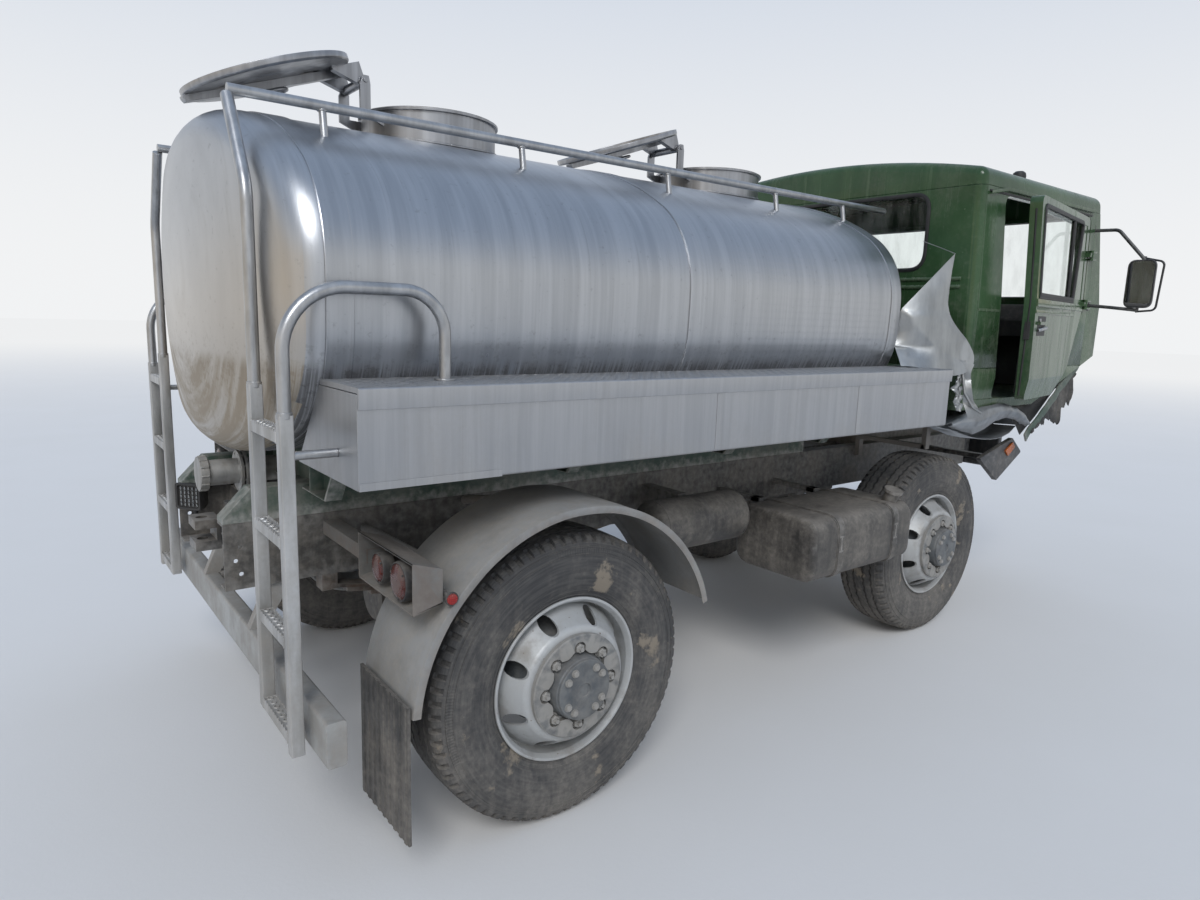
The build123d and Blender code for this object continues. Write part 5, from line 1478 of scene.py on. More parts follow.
# The outlet pipe comes down under the rear of the tank, turns to the rear and ends in a
# ribbed union nut behind a bolted pair of flanges. It is dull stainless, wet and dirty below.
outlet_steel = stainless("outlet_steel", (0.50, 0.50, 0.49, 1), (0.28, 0.27, 0.25, 1), 0.35, dust=0.6,
                         low=0.6, high=1.5)
OUTLET_Z = 1.150
bm = bmesh.new()
pipe_path = [(rear_x - 0.500, 0, 1.256), (rear_x - 0.500, 0, OUTLET_Z), (rear_x - 0.900, 0, OUTLET_Z)]
swept(bm, route(pipe_path, 0.075, 10), circle(0.050, 32))
for x, radius, thick in ((-0.760, 0.080, 0.012), (-0.778, 0.080, 0.012), (-0.898, 0.066, 0.032)):
    bar(bm, (rear_x + x, 0, OUTLET_Z), (rear_x + x - thick, 0, OUTLET_Z), radius, 48)
for angles, reach, x0, x1, radius, sides in ((turns(12), 0.066, -0.900, -0.928, 0.0045, 8),
                                             (turns(8, 0.5), 0.069, -0.758, -0.792, 0.0055, 6)):
    for angle in angles:
        y, z = reach * cos(angle), OUTLET_Z + reach * sin(angle)
        bar(bm, (rear_x + x0, y, z), (rear_x + x1, y, z), radius, sides)
fit(solid("outlet_pipe", bm, outlet_steel, 0.0015), None, "chassis", "valve_steel", "outlet_valve")

# The fuel tank is a pressed steel drum with rounded corners, held by two straps with
# rubber under them. It is dark with road dirt. Its filler neck stands on the front end.
FUEL_X = (rear_x + 1.340, rear_x + 2.150)
fuel_paint = weathered("fuel_paint", (0.036, 0.034, 0.032), (0.062, 0.057, 0.050), dust=0.70, low=0.3,
                       high=1.5, wear=0.5)
bm = bmesh.new()
fuel_line = rounded_path([(-1.180, 0.610, 0.085), (-0.700, 0.610, 0.085), (-0.700, 0.910, 0.085),
                          (-1.180, 0.910, 0.085)], closed=True, steps=10)
FUEL_MIDDLE = (-0.940, 0.760)
FUEL_HALF = (0.24, 0.15)


def drum_ring(bm, x, out):
    """The drum's outline at one place along it, grown by a distance."""
    return [bm.verts.new((x, *(m + (p - m) * (1 + out / half)
                               for p, m, half in zip(point, FUEL_MIDDLE, FUEL_HALF))))
            for point in fuel_line]


steps_in = ((0.000, 0.075), (0.004, 0.030), (0.012, 0.010), (0.022, 0.001), (0.035, 0.0), (0.060, 0.0))
stations = [(FUEL_X[0] + reach, inset) for reach, inset in steps_in]
stations += [(FUEL_X[1] - reach, inset) for reach, inset in reversed(steps_in)]
loft(bm, [drum_ring(bm, x, -inset) for x, inset in stations])
bar(bm, (rear_x + 2.060, -1.080, 0.885), (rear_x + 2.060, -1.110, 0.958), 0.037, 32)
bar(bm, (rear_x + 2.060, -1.1085, 0.956), (rear_x + 2.060, -1.1135, 0.972), 0.047, 14)
for x in (rear_x + 1.520, rear_x + 1.970):
    for lift, low, high in ((0.0025, -0.004, 0.049), (0.0055, 0.002, 0.043)):
        strap = ((low, 0.0), (low, lift), (high, lift), (high, 0.0))
        loft(bm, [drum_ring(bm, x + reach, out) for reach, out in strap], ends=False)
    slab(bm, (x, -0.700, 0.880), (x + 0.045, -0.400, 0.905))
    slab(bm, (x, -0.694, 0.700), (x + 0.045, -0.640, 0.905))
    bar(bm, (x + 0.022, -1.183, 0.750), (x + 0.022, -1.183, 0.820), 0.006, 12)
    slab(bm, (x + 0.006, -1.186, 0.742), (x + 0.038, -1.178, 0.752))
    slab(bm, (x + 0.006, -1.186, 0.812), (x + 0.038, -1.178, 0.822))
fit(solid("fuel_drum", bm, fuel_paint, 0.0015, sharp=40), None, "chassis", "fuel_paint", "fuel_tank")

# The air tanks are welded steel bottles with domed ends and raised seams, painted black and
# banded to brackets under the rails.
BOTTLE_Y, BOTTLE_Z, BOTTLE_RADIUS = 0.740, 0.870, 0.1195
bottle_paint = weathered("bottle_paint", (0.030, 0.030, 0.031), (0.070, 0.064, 0.056), dust=0.8, low=0.3,
                         high=1.5)


def bottle(bm, x0, x1, y):
    """An air bottle with domed ends, weld seams and a boss."""
    z, radius, length = BOTTLE_Z, BOTTLE_RADIUS, x1 - x0
    dome = [(radius * sin(pi / 16 * k), 0.055 * (1 - cos(pi / 16 * k))) for k in range(9)]
    line = dome + [(radius + 0.0002, 0.058), (radius, 0.062), (radius, length - 0.062),
                   (radius + 0.0002, length - 0.058)]
    line += [(r, length - h) for r, h in reversed(dome)]
    along_x(bm, line, (x0, y, z), 1, 48)
    for x in (x0 + 0.058, x1 - 0.058):
        weld(bm, [(x, y + radius * cos(a), z + radius * sin(a)) for a in turns(32)], 0.0025)
    bar(bm, (x0 + 0.14, y, z - radius + 0.004), (x0 + 0.14, y, z - radius), 0.016, 16)


bm = bmesh.new()
for side, start in ((-1, 0.700), (1, 0.760)):
    bottle(bm, rear_x + start, rear_x + 1.310, side * BOTTLE_Y)
    slab(bm, (rear_x + 0.980, side * 0.400, 0.850), (rear_x + 1.040, side * 0.660, 0.980))
    hoop = [Vector((rear_x + 1.010, side * BOTTLE_Y + BOTTLE_RADIUS * cos(a),
                    BOTTLE_Z + BOTTLE_RADIUS * sin(a))) for a in turns(48)]
    swept(bm, hoop, [(0.0005, -0.018), (0.0005, 0.018), (-0.002, 0.018), (-0.002, -0.018)], (0, 1, 0),
          closed=True)
fit(solid("air_bottles", bm, bottle_paint, 0.0015), None, "chassis", "bracket_grey", "air_tanks")

# The battery box on the left is a folded steel case with a pressed lid and two rubber
# catches. It is painted black and stands on a bracket from the frame.
bm = bmesh.new()
case = rounded_path([(0.520, 0.620, 0.025), (1.100, 0.620, 0.025), (1.100, 0.930), (0.520, 0.930)],
                    closed=True, steps=5)
prism(bm, case, "x", rear_x + 1.424, rear_x + 2.096)
cover = rounded_path([(0.520, 0.900), (1.100, 0.900), (1.100, 1.000, 0.025), (0.520, 1.000, 0.025)],
                     closed=True, steps=5)
prism(bm, cover, "x", rear_x + 1.420, rear_x + 2.100)
slab(bm, (rear_x + 1.500, 0.400, 0.820), (rear_x + 2.020, 0.521, 0.860))
for x in (1.560, 1.920):
    slab(bm, (rear_x + x, 1.0985, 0.845), (rear_x + x + 0.030, 1.0995, 0.960))
fit(solid("battery_case", bm, bottle_paint, 0.003), None, "chassis", "bracket_grey", "battery_box")

# The rear mudguards are rolled steel, as wide as the tyres, their edges turned down. Both
# ends reach low round the wheel. They are thick with dust, and dented on top.
GUARD_R = 0.625
GUARD_Z = 0.545
guard_grey = weathered("guard_grey", (0.235, 0.240, 0.240), (0.170, 0.170, 0.165), dust=0.75, low=0.3,
                       high=2.2, wear=0.3, metal=(0.12, 0.075, 0.05), dust_colour=(0.200, 0.190, 0.172),
                       mottle=9.0)


def rolled_guard(bm, x, y0, y1, radius, centre_z, low_rear, low_front, dent=0.0):
    """A mudguard of rolled sheet from one low end over the wheel to the other."""
    start = pi + asin(min(1.0, max(-1.0, (centre_z - low_rear) / radius)))
    stop = asin(min(1.0, max(-1.0, (low_front - centre_z) / radius)))
    steps = 56
    line = [(0.0, 0.026), (0.0, 0.005), (0.002, 0.001), (0.006, 0.0), (0.5, 0.0), (0.994, 0.0),
            (0.998, 0.001), (1.0, 0.005), (1.0, 0.026), (0.997, 0.026), (0.997, 0.006), (0.991, 0.003),
            (0.5, 0.003), (0.009, 0.003), (0.003, 0.006), (0.003, 0.026)]
    rings = []
    for k in range(steps + 1):
        angle = start + (stop - start) * k / steps
        ring = []
        for share, drop in line:
            y = y0 + (y1 - y0) * share
            r = radius - drop
            if 0.001 < share < 0.999:
                r -= dent * max(0.0, noise.noise(Vector((angle * 2.3, share * 1.7, 3.0))))
            ring.append(bm.verts.new((x + r * cos(angle), y, centre_z + r * sin(angle))))
        rings.append(ring)
    loft(bm, rings)


bm = bmesh.new()
for side in (-1, 1):
    rolled_guard(bm, rear_x, side * 1.250, side * 0.870, GUARD_R, GUARD_Z, 0.600, 0.722, 0.006)
    for x, z, reach_z in ((0.0, 1.020, 1.120), (-0.430, 0.960, 0.975)):
        bar(bm, (rear_x + x, side * 0.400, z), (rear_x + x, side * 0.880, reach_z), 0.018, 20)
fit(solid("rear_wheel_guards", bm, guard_grey, 0), None, "chassis", "mudguard_grey", "rear_mudguards")

# The mudflaps are thick black rubber with upright ribs on the rear face, hung from the
# guards' rear ends, and they curl a little.
flap_rubber = weathered("flap_rubber", (0.030, 0.030, 0.030), (0.050, 0.048, 0.045), dust=0.65, low=0.1,
                        high=1.2, wear=0.0, roughness=0.7, dust_colour=(0.095, 0.089, 0.081))
FLAP_X = rear_x - 0.6345
FLAP_ROWS = 16
FLAP_RIBS = 9
outline = [(0.0, -0.0035)]
for k in range(FLAP_RIBS):
    for share, out in ((0.25, -0.0035), (0.32, -0.0072), (0.68, -0.0072), (0.75, -0.0035)):
        outline.append(((k + share) / FLAP_RIBS, out))
outline += [(1.0, -0.0035), (1.0, 0.0065), (0.0, 0.0065)]
bm = bmesh.new()
for side in (-1, 1):
    rings = []
    for k in range(FLAP_ROWS + 1):
        share = k / FLAP_ROWS
        rings.append([bm.verts.new((FLAP_X + out * 0.95 + 0.0005 * sin(share * 5.0 + along * 4.0 * side),
                                    side * (0.875 + 0.370 * along), 0.640 - 0.450 * share))
                      for along, out in outline])
    loft(bm, rings)
fit(solid("rubber_flaps", bm, flap_rubber, 0), None, "chassis", "flap_rubber", "mudflaps")

# The front mudguards are thin pressed steel. The left one still stands round its wheel. The
# right one has been torn off its stay and rolled up under the cab, creased along its length.
FRONT_GUARD_R = 0.650
bm = bmesh.new()
rolled_guard(bm, front_x, 1.015, 0.635, FRONT_GUARD_R, 0.560, 0.702, 0.702, 0.003)
slab(bm, (front_x - 0.020, 0.400, 1.010), (front_x + 0.020, 0.640, 1.035))
slab(bm, (front_x - 0.020, 0.600, 1.010), (front_x + 0.020, 0.640, 1.206))
whole_guard = solid("guard_left", bm, guard_grey, 0)
CRUSHED = (
    # x from the rear axle, height of the top, of the outer edge and of the inner side's foot
    (2.560, 1.285, 1.262, 1.250), (2.700, 1.322, 1.232, 1.226), (2.830, 1.352, 1.205, 1.190),
    (2.960, 1.372, 1.222, 1.160), (3.080, 1.378, 1.262, 1.142), (3.200, 1.366, 1.278, 1.134),
    (3.320, 1.336, 1.262, 1.136), (3.420, 1.300, 1.232, 1.160), (3.490, 1.240, 1.210, 1.196))


def sheet_between(bm, rows):
    """Faces between open rows of points."""
    for here, after in zip(rows, rows[1:]):
        for j in range(len(here) - 1):
            bm.faces.new((here[j], here[j + 1], after[j + 1], after[j]))


def thickened(piece, thickness):
    """A sheet with its thickness, half to each side."""
    skin = piece.modifiers.new("skin", "SOLIDIFY")
    skin.thickness = thickness
    skin.offset = 0.0
    return settled(piece)


bm = bmesh.new()
columns = 84
rings = []
for i in range(columns + 1):
    at = i / columns * (len(CRUSHED) - 1)
    k = min(int(at), len(CRUSHED) - 2)
    ease = (at - k) ** 2 * (3 - 2 * (at - k))
    x, top, edge, foot = (a + (b - a) * ease for a, b in zip(CRUSHED[k], CRUSHED[k + 1]))
    line = rounded_path([(-1.098, edge), (-1.128, (top + edge) / 2, 0.030), (-1.112, top, 0.030),
                         (-1.050, min(top - 0.030, 1.330), 0.030), (-0.880, min(top - 0.040, 1.322), 0.05),
                         (-0.850, (top + foot) / 2, 0.05), (-0.905, foot, 0.035), (-1.040, foot + 0.006)],
                        steps=4)
    ring = []
    for j, (y, z) in enumerate(line):
        fold = noise.noise(Vector((x * 7.0, y * 6.0, z * 6.0)))
        fold += 0.6 * abs(noise.noise(Vector((x * 16.0, y * 12.0, 3.0))))
        dent = 0.010 * fold * min(1.0, i / 6, (columns - i) / 6)
        ring.append(bm.verts.new((rear_x + x + 0.6 * dent, y + dent * 0.7, z - abs(dent) * 0.8)))
    rings.append(ring)
sheet_between(bm, rings)
bmesh.ops.recalc_face_normals(bm, faces=bm.faces)
bent_grey = weathered("bent_grey", (0.26, 0.28, 0.30), (0.15, 0.16, 0.17), dust=0.35, low=0.3, high=1.5,
                      wear=0.3, metal=(0.40, 0.41, 0.42), roughness=0.30, metallic=0.5, mottle=9.0)
rolled = thickened(new_object("guard_rolled", mesh_of(bm, "guard_rolled", 40), bent_grey), 0.003)
bm = bmesh.new()
slab(bm, (rear_x + 2.760, -0.430, 0.980), (rear_x + 2.800, -0.400, 1.110))
slab(bm, (rear_x + 2.760, -0.860, 1.085), (rear_x + 2.800, -0.430, 1.110))
slab(bm, (rear_x + 2.760, -0.870, 1.085), (rear_x + 2.800, -0.840, 1.240))
crushed_guard = solid("guard_right", bm, guard_grey, 0, sharp=28)

# Under the crushed corner hangs a torn strip of the cab's sill with the wheel arch's black
# liner, ripped to rags along its outer edge.
RAGS = (
    # share of the way down the strip, how far a rag hangs
    (0.08, 0.030), (0.14, 0.080), (0.19, 0.185), (0.24, 0.115), (0.30, 0.150), (0.35, 0.120), (0.41, 0.215),
    (0.46, 0.140), (0.50, 0.155), (0.55, 0.095), (0.60, 0.085), (0.65, 0.045), (0.70, 0.065), (0.76, 0.025),
    (0.90, 0.020))
strip_top, strip_foot = Vector((rear_x + 4.150, -1.098, 1.585)), Vector((rear_x + 3.500, -1.098, 1.132))
sill_path = []
for k in range(25):
    sway = 0.012 * noise.noise(Vector((k * 0.3, 0, 7.0)))
    sill_path.append(strip_top.lerp(strip_foot, k / 24) + Vector((0, sway, 0)))
bm = bmesh.new()
swept(bm, sill_path, [(-0.006, -0.027), (0.004, -0.025), (0.008, 0.0), (0.003, 0.027), (-0.006, 0.028)],
      (0, -1, 0))
sill = solid("torn_sill", bm, cradle_green, 0.001)
bm = bmesh.new()
hems = []
for k in range(91):
    share = 0.08 + 0.82 * k / 90
    spot = strip_top.lerp(strip_foot, share)
    for (s0, w0), (s1, w1) in zip(RAGS, RAGS[1:]):
        if s0 <= share <= s1:
            hang = w0 + (w1 - w0) * (share - s0) / (s1 - s0)
    hang += 0.016 * noise.noise(Vector((share * 60, 0, 2.0)))
    hem = []
    for t in (-0.08, 0.2, 0.45, 0.7, 0.9, 1.0):
        flutter = 0.018 * noise.noise(Vector((share * 22, t * 2, 5.0)))
        hem.append(bm.verts.new(spot + Vector((0.22 * hang * t, 0.004 - 0.014 * t + flutter, -hang * t))))
    hems.append(hem)
sheet_between(bm, hems)
arch = [(3.130, 1.338), (3.560, 1.338), (3.760, 1.400), (4.080, 1.520), (3.860, 1.372), (3.690, 1.252),
        (3.512, 1.148), (3.440, 1.215), (3.300, 1.290)]
bm.faces.new([bm.verts.new((rear_x + x, -1.060, z)) for x, z in arch])
bmesh.ops.recalc_face_normals(bm, faces=bm.faces)
liner = thickened(new_object("torn_liner", mesh_of(bm, "torn_liner", 40), flap_rubber), 0.004)
fit(joined("front_wheel_guards", whole_guard, rolled, crushed_guard, sill, liner), None, "chassis",
    "mudguard_grey", "front_mudguards")

# The bumper is folded black-painted steel, torn off short at the right. Its left headlamp
# still sits in its hole, with a chrome bowl behind a ribbed glass.
bumper_black = weathered("bumper_black", (0.016, 0.017, 0.020), (0.034, 0.035, 0.038), dust=0.45, low=0.3,
                         high=1.4, wear=0.7, metal=(0.30, 0.29, 0.28), roughness=0.35)


def bright(name, colour, roughness):
    """Bright plated metal or silvered glass."""
    made, tree, shader = new_material(name)
    feed_all(tree, shader, Base_Color=colour, Metallic=1.0, Roughness=roughness)
    return made, tree, shader


chrome, tree, shader = bright("chrome", (0.72, 0.73, 0.74, 1), 0.08)
bump_from(tree, shader, speckle(tree, place_on(tree), 60.0), 0.0002, 0.3)
fit(eased("bumper", "front_bumper", 0.012, 3), bumper_black, "chassis", "bumper_black", "bumper")
bm = bmesh.new()
lamp_at = (rear_x + 4.342, 0.860, 0.925)
along_x(bm, [(0.0, 0.0), (0.089, 0.0), (0.0895, 0.036), (0.086, 0.0405), (0.079, 0.041), (0.078, 0.036),
             (0.060, 0.018), (0.030, 0.006), (0.0, 0.003)], lamp_at, 1, 64)
bowl = solid("lamp_bowl", bm, chrome, 0)
bm = bmesh.new()
along_x(bm, [(0.0785, 0.0385), (0.0775, 0.0400), (0.050, 0.0412), (0.0, 0.0416)], lamp_at, 1, 64)
glass = solid("lamp_glass", bm, clear_lens, 0)
fit(joined("headlamp_left", bowl, glass), None, "chassis", "lamp_glass", "headlamps")

# The bumper's right end hangs from its broken bracket. It is a thick black plate and carries
# an orange marker lamp.
end_line = [(3.190, 1.010), (3.600, 1.110), (3.740, 1.010), (3.440, 0.850)]
bm = bmesh.new()
outline = rounded_path([(rear_x + x, z, 0.012) for x, z in end_line], closed=True, steps=3)
prism(bm, outline, "y", -0.985, -0.955)
slab(bm, (rear_x + 3.500, -0.960, 0.960), (rear_x + 3.560, -0.400, 0.990))
hanging = solid("hanging_plate", bm, bumper_black, 0.004, segments=3)
bm = bmesh.new()
marker = rounded_path([(3.500, 1.035, 0.004), (3.590, 1.085, 0.004), (3.625, 1.050, 0.004),
                       (3.540, 1.000, 0.004)], closed=True, steps=2)
prism(bm, [(rear_x + x, z) for x, z in marker], "y", -0.995, -0.984)
amber = solid("marker", bm, orange_lens, 0.002)
fit(joined("broken_bumper_end", hanging, amber), None, "chassis", "bumper_black", "bumper_end")

# A sheet of stainless cladding, torn loose between the tank and the cab, stands on the right
# box. It is bent up to a point and creased across, and its outer edge hangs down as a ragged strip.
torn_steel = stainless("torn_steel", (0.420, 0.430, 0.430, 1), (0.270, 0.278, 0.278, 1), 0.34,
                       streak=(9, 9, 2), dust=0.25, relief=0.0008)


def torn_spot(along, z, out):
    """A point of the torn sheet: how far forward along it, its height, and how far out it stands."""
    return rear_x + 2.300 + 0.9175 * along - 0.3976 * out, -1.020 - 0.3976 * along - 0.9175 * out, z


def crumpled(name, spots, faces, folds, ripple, rounds=3):
    """A bent sheet: a coarse net of points, smoothed but for its sharp folds, then given its thickness."""
    bm = bmesh.new()
    verts = [bm.verts.new(torn_spot(*spot)) for spot in spots]
    for face in faces:
        bm.faces.new([verts[k] for k in face])
    bmesh.ops.recalc_face_normals(bm, faces=bm.faces)
    sharp = bm.edges.layers.float.new("crease_edge")
    for a, b in folds:
        edge = bm.edges.get((verts[a], verts[b]))
        if edge:
            edge[sharp] = 0.85
    piece = new_object(name, mesh_of(bm, name, 60), torn_steel)
    smoothing = piece.modifiers.new("smoothing", "SUBSURF")
    smoothing.levels = rounds
    smoothing.boundary_smooth = "PRESERVE_CORNERS"
    settled(piece)
    for vert in piece.data.vertices:
        spot = vert.co
        dent = noise.noise(spot * 9.0) + 0.6 * abs(noise.noise(spot * 23.0)) + 0.3 * noise.noise(spot * 60.0)
        vert.co = spot + vert.normal * dent * ripple
    thickened(piece, 0.0022)
    piece.data.set_sharp_from_angle(angle=radians(50))
    return piece


SHEET = (
    # along the sheet, height, out toward the right
    (0.174, 2.170, 0.000), (0.039, 2.032, 0.004), (-0.107, 1.879, -0.006), (-0.060, 1.846, 0.028),
    (-0.120, 1.800, -0.030), (-0.112, 1.735, -0.050), (-0.034, 1.775, 0.030), (0.021, 1.748, 0.036),
    (0.087, 1.692, 0.042), (0.153, 1.655, 0.034), (0.256, 1.628, 0.014), (0.275, 1.720, 0.004),
    (0.292, 1.735, 0.010), (0.227, 1.797, 0.002), (0.163, 1.875, -0.002), (0.159, 1.961, 0.000),
    (0.165, 2.082, 0.002), (-0.120, 1.688, -0.022), (-0.023, 1.684, 0.004), (-0.128, 1.672, 0.006),
    (-0.126, 1.588, 0.060), (-0.006, 1.588, 0.078), (0.070, 1.540, 0.070), (0.242, 1.540, 0.040),
    (0.343, 1.662, 0.020), (0.342, 1.603, 0.026), (0.318, 1.566, 0.020), (0.090, 1.950, 0.030),
    (0.045, 1.860, 0.042), (0.112, 1.790, 0.034), (0.190, 1.712, 0.026))
SHEET_FACES = (
    (0, 1, 27, 16), (1, 2, 28, 27), (2, 3, 28), (27, 15, 16), (27, 28, 14, 15), (3, 6, 28), (28, 6, 7, 29),
    (28, 29, 13, 14), (7, 8, 30, 29), (29, 30, 11, 13), (13, 11, 12), (8, 9, 10, 30), (30, 10, 11), (2, 4, 3),
    (3, 4, 5, 6), (6, 5, 17, 18), (7, 6, 18), (8, 7, 18), (18, 17, 19), (18, 19, 20, 21), (8, 18, 21, 22),
    (9, 8, 22, 23), (10, 9, 23), (10, 23, 26), (10, 26, 25), (10, 25, 24), (11, 10, 24, 12))
SHEET_FOLDS = ((2, 3), (3, 6), (6, 7), (7, 8), (8, 9), (9, 10), (10, 11), (11, 12), (17, 18), (18, 8),
               (10, 26))
torn_main = crumpled("torn_main", SHEET, SHEET_FACES, SHEET_FOLDS, 0.0035)
RIBBON = ((0.256, 1.628, 0.016), (0.342, 1.603, 0.028), (0.285, 1.590, 0.010), (0.320, 1.560, 0.034),
          (0.296, 1.520, 0.000), (0.338, 1.523, 0.022), (0.302, 1.455, 0.020), (0.332, 1.478, 0.040),
          (0.318, 1.400, 0.000), (0.364, 1.405, 0.030), (0.330, 1.352, 0.018), (0.402, 1.355, 0.044),
          (0.360, 1.306, 0.004), (0.436, 1.324, 0.020))
RIBBON_FACES = tuple((k, k + 1, k + 3, k + 2) for k in range(0, 12, 2))
ribbon = crumpled("torn_ribbon", RIBBON, RIBBON_FACES, ((0, 1), (4, 5), (8, 9)), 0.004)
FOIL = []
for k in range(12):
    step = k / 11
    shift = 0.020 * noise.noise(Vector((k * 1.7, 0.3, 0.0)))
    for j in range(4):
        share = j / 3
        ragged = 0.5 * shift if j else 2.2 * shift
        FOIL.append((
            0.238 + 0.030 * step * step + share * (0.050 - 0.008 * step) + ragged,
            1.612 - 0.255 * step + 0.010 * share * (-1) ** k,
            0.004 + 0.022 * ((k + j) % 2) + 0.012 * noise.noise(Vector((k * 0.9, j * 1.3, 4.0)))))
FOIL_FACES = tuple((4 * k + j, 4 * k + j + 1, 4 * k + j + 5, 4 * k + j + 4) for k in range(11)
                   for j in range(3))
FOIL_FOLDS = tuple((4 * k + j, 4 * k + j + 1) for k in range(12) for j in range(3))
foil = crumpled("torn_foil", FOIL, FOIL_FACES, FOIL_FOLDS, 0.004)
bm = bmesh.new()
edge_path = [(rear_x + 2.459, -1.090, 2.170), (rear_x + 2.462, -1.000, 2.206),
             (rear_x + 2.456, -0.909, 2.241)]
swept(bm, route(edge_path, 0.05), [(-0.007, -0.001), (0.007, -0.001), (0.007, 0.001), (-0.007, 0.001)],
      (1, 0, 0))
stay = [torn_spot(*spot) for spot in ((0.278, 1.600, 0.012), (0.300, 1.450, 0.030), (0.352, 1.375, 0.040),
                                      (0.400, 1.345, 0.052))]
swept(bm, route(stay, 0.03), circle(0.007, 10), (0, 1, 0))
scraps = solid("torn_edges", bm, torn_steel, 0)
fit(joined("torn_cladding", torn_main, ribbon, foil, scraps), None, "chassis", "torn_sheet_steel",
    "torn_sheet")

# The cab is pressed steel in glossy dark green, dulled in streaks where rain has run down it.
# Its roof cap is lapped over the walls, and two ribs are pressed across the back wall.
cab_paint, tree, shader = new_material("cab_paint")
drawn_down = speckle(tree, place_on(tree, (26, 26, 0.8)), 1.0, 6, 0.6)
broad_runs = speckle(tree, place_on(tree, (7, 7, 0.5)), 1.0, 4, 0.5)
clouds = speckle(tree, place_on(tree), 2.2, 6, 0.6)
chips = speckle(tree, place_on(tree), 75.0, 3, 0.6)
green = blend_colour(tree, rise(tree, clouds, 0.35, 0.70), (0.023, 0.058, 0.023, 1), (0.040, 0.086, 0.038, 1))
green = stained(tree, green, broad_runs, 0.50, 0.72, 0.40, (0.060, 0.105, 0.048, 1))
green = stained(tree, green, drawn_down, 0.58, 0.72, 0.30, (0.13, 0.18, 0.11, 1))
green = stained(tree, green, chips, 0.72, 0.75, 0.6, (0.20, 0.24, 0.17, 1))
worn = use_group(tree, edge_wear, Paint=green, Metal=(0.14, 0.17, 0.12, 1), Amount=0.6)
dusty = use_group(tree, road_dust, Paint=worn.outputs["Color"], Amount=0.22, Low=1.0, High=2.0,
                  Clean_Roughness=0.17)
feed_all(tree, shader, Base_Color=dusty.outputs["Color"], Coat_Weight=0.06, Coat_Roughness=0.12,
         Specular_IOR_Level=0.30,
         Roughness=add_share(tree, dusty.outputs["Roughness"], rise(tree, drawn_down, 0.45, 0.70), 0.16))
panel_wave = speckle(tree, place_on(tree, (1.0, 1.0, 0.7)), 3.4, 2, 0.5)
bump_from(tree, shader, add_share(tree, dusty.outputs["Relief"], panel_wave, 6.0), 0.0011, 0.8)
window_rubber = weathered("window_rubber", (0.010, 0.010, 0.011), (0.022, 0.022, 0.022), dust=0.10, wear=0.0,
                          roughness=0.55, low=1.0, high=2.2)
CAB_BACK = rear_x + 2.660
BELT = 1.950


def wall_at(z, inset=0.0):
    """How far the cab's side stands from the middle at a height."""
    if z >= BELT:
        return 1.120 - inset - 0.020 * (z - BELT) / 0.682
    return 1.120 - inset - max(0.0, 0.030 * (1.520 - z) / 0.180)


def window_seal(bm, spots, level, wide=0.011, deep=0.006):
    """A rubber seal laid round a window opening, fuller at its middle."""
    half = [(-wide, 0.0), (-wide * 0.9, deep * 0.7), (-wide * 0.35, deep), (wide * 0.35, deep),
            (wide * 0.9, deep * 0.7), (wide, 0.0), (wide, -0.008), (-wide, -0.008)]
    swept(bm, spots, [(v, u) for u, v in half], level, closed=True)


cab_shell = []
for node, name, edge in (("cab_roof", "roof_cap", 0.005), ("cab_back_wall", "back_wall", 0.004),
                         ("cab_sides", "side_walls", 0.004), ("cab_front", "front_wall", 0.003),
                         ("cab_floor", "floor_pan", 0.005)):
    cab_shell.append(coated(settled(eased(node, name, edge, 3, 32)), cab_paint))
for piece in cab_shell[2:]:
    bm = bmesh.new()
    bm.from_mesh(piece.data)
    across = Vector((-0.800, 0.020, -0.300)).cross(Vector((-0.020, 0.340, -0.300)))
    across *= -1 if across.dot(Vector((1, -1, -1))) < 0 else 1
    made = bmesh.ops.bisect_plane(bm, geom=bm.verts[:] + bm.edges[:] + bm.faces[:],
                                  plane_co=(rear_x + 4.320, -1.120, 1.640), plane_no=across,
                                  clear_outer=True)
    bmesh.ops.triangle_fill(bm, edges=[e for e in made["geom_cut"] if isinstance(e, bmesh.types.BMEdge)],
                            use_beauty=True)
    bm.to_mesh(piece.data)
    bm.free()
groove = bmesh.new()
seam_line = rounded_path([(CAB_BACK, -1.120, 0.050), (CAB_BACK, 1.120, 0.050),
                          (rear_x + 4.310, 1.120, 0.002), (rear_x + 4.310, -1.120, 0.002)], closed=True,
                         steps=8)
swept(groove, [Vector((x, y, 1.575)) for x, y in seam_line],
      [(-0.003, -0.002), (0.003, -0.002), (0.003, 0.002), (-0.003, 0.002)], (0, 0, 1), closed=True)
seam_tool = mesh_of(groove, "seam_tool")
for k in (1, 2):
    cut(cab_shell[k], new_object("seam_tool_" + str(k), seam_tool.copy()))
bpy.data.meshes.remove(seam_tool)
bm = bmesh.new()
for z in (2.055, 2.012):
    rib = [(-0.013, -0.004), (-0.010, 0.004), (-0.004, 0.008), (0.004, 0.008), (0.010, 0.004),
           (0.013, -0.004)]
    path = [Vector((CAB_BACK, y, z)) for y in (-1.030, 1.030)]
    swept(bm, path, [(v, u) for u, v in rib], (-1, 0, 0))
for y in (-0.62, 0.0, 0.62):
    slab(bm, (CAB_BACK - 0.006, y - 0.020, 1.420), (CAB_BACK + 0.004, y + 0.020, 1.960))
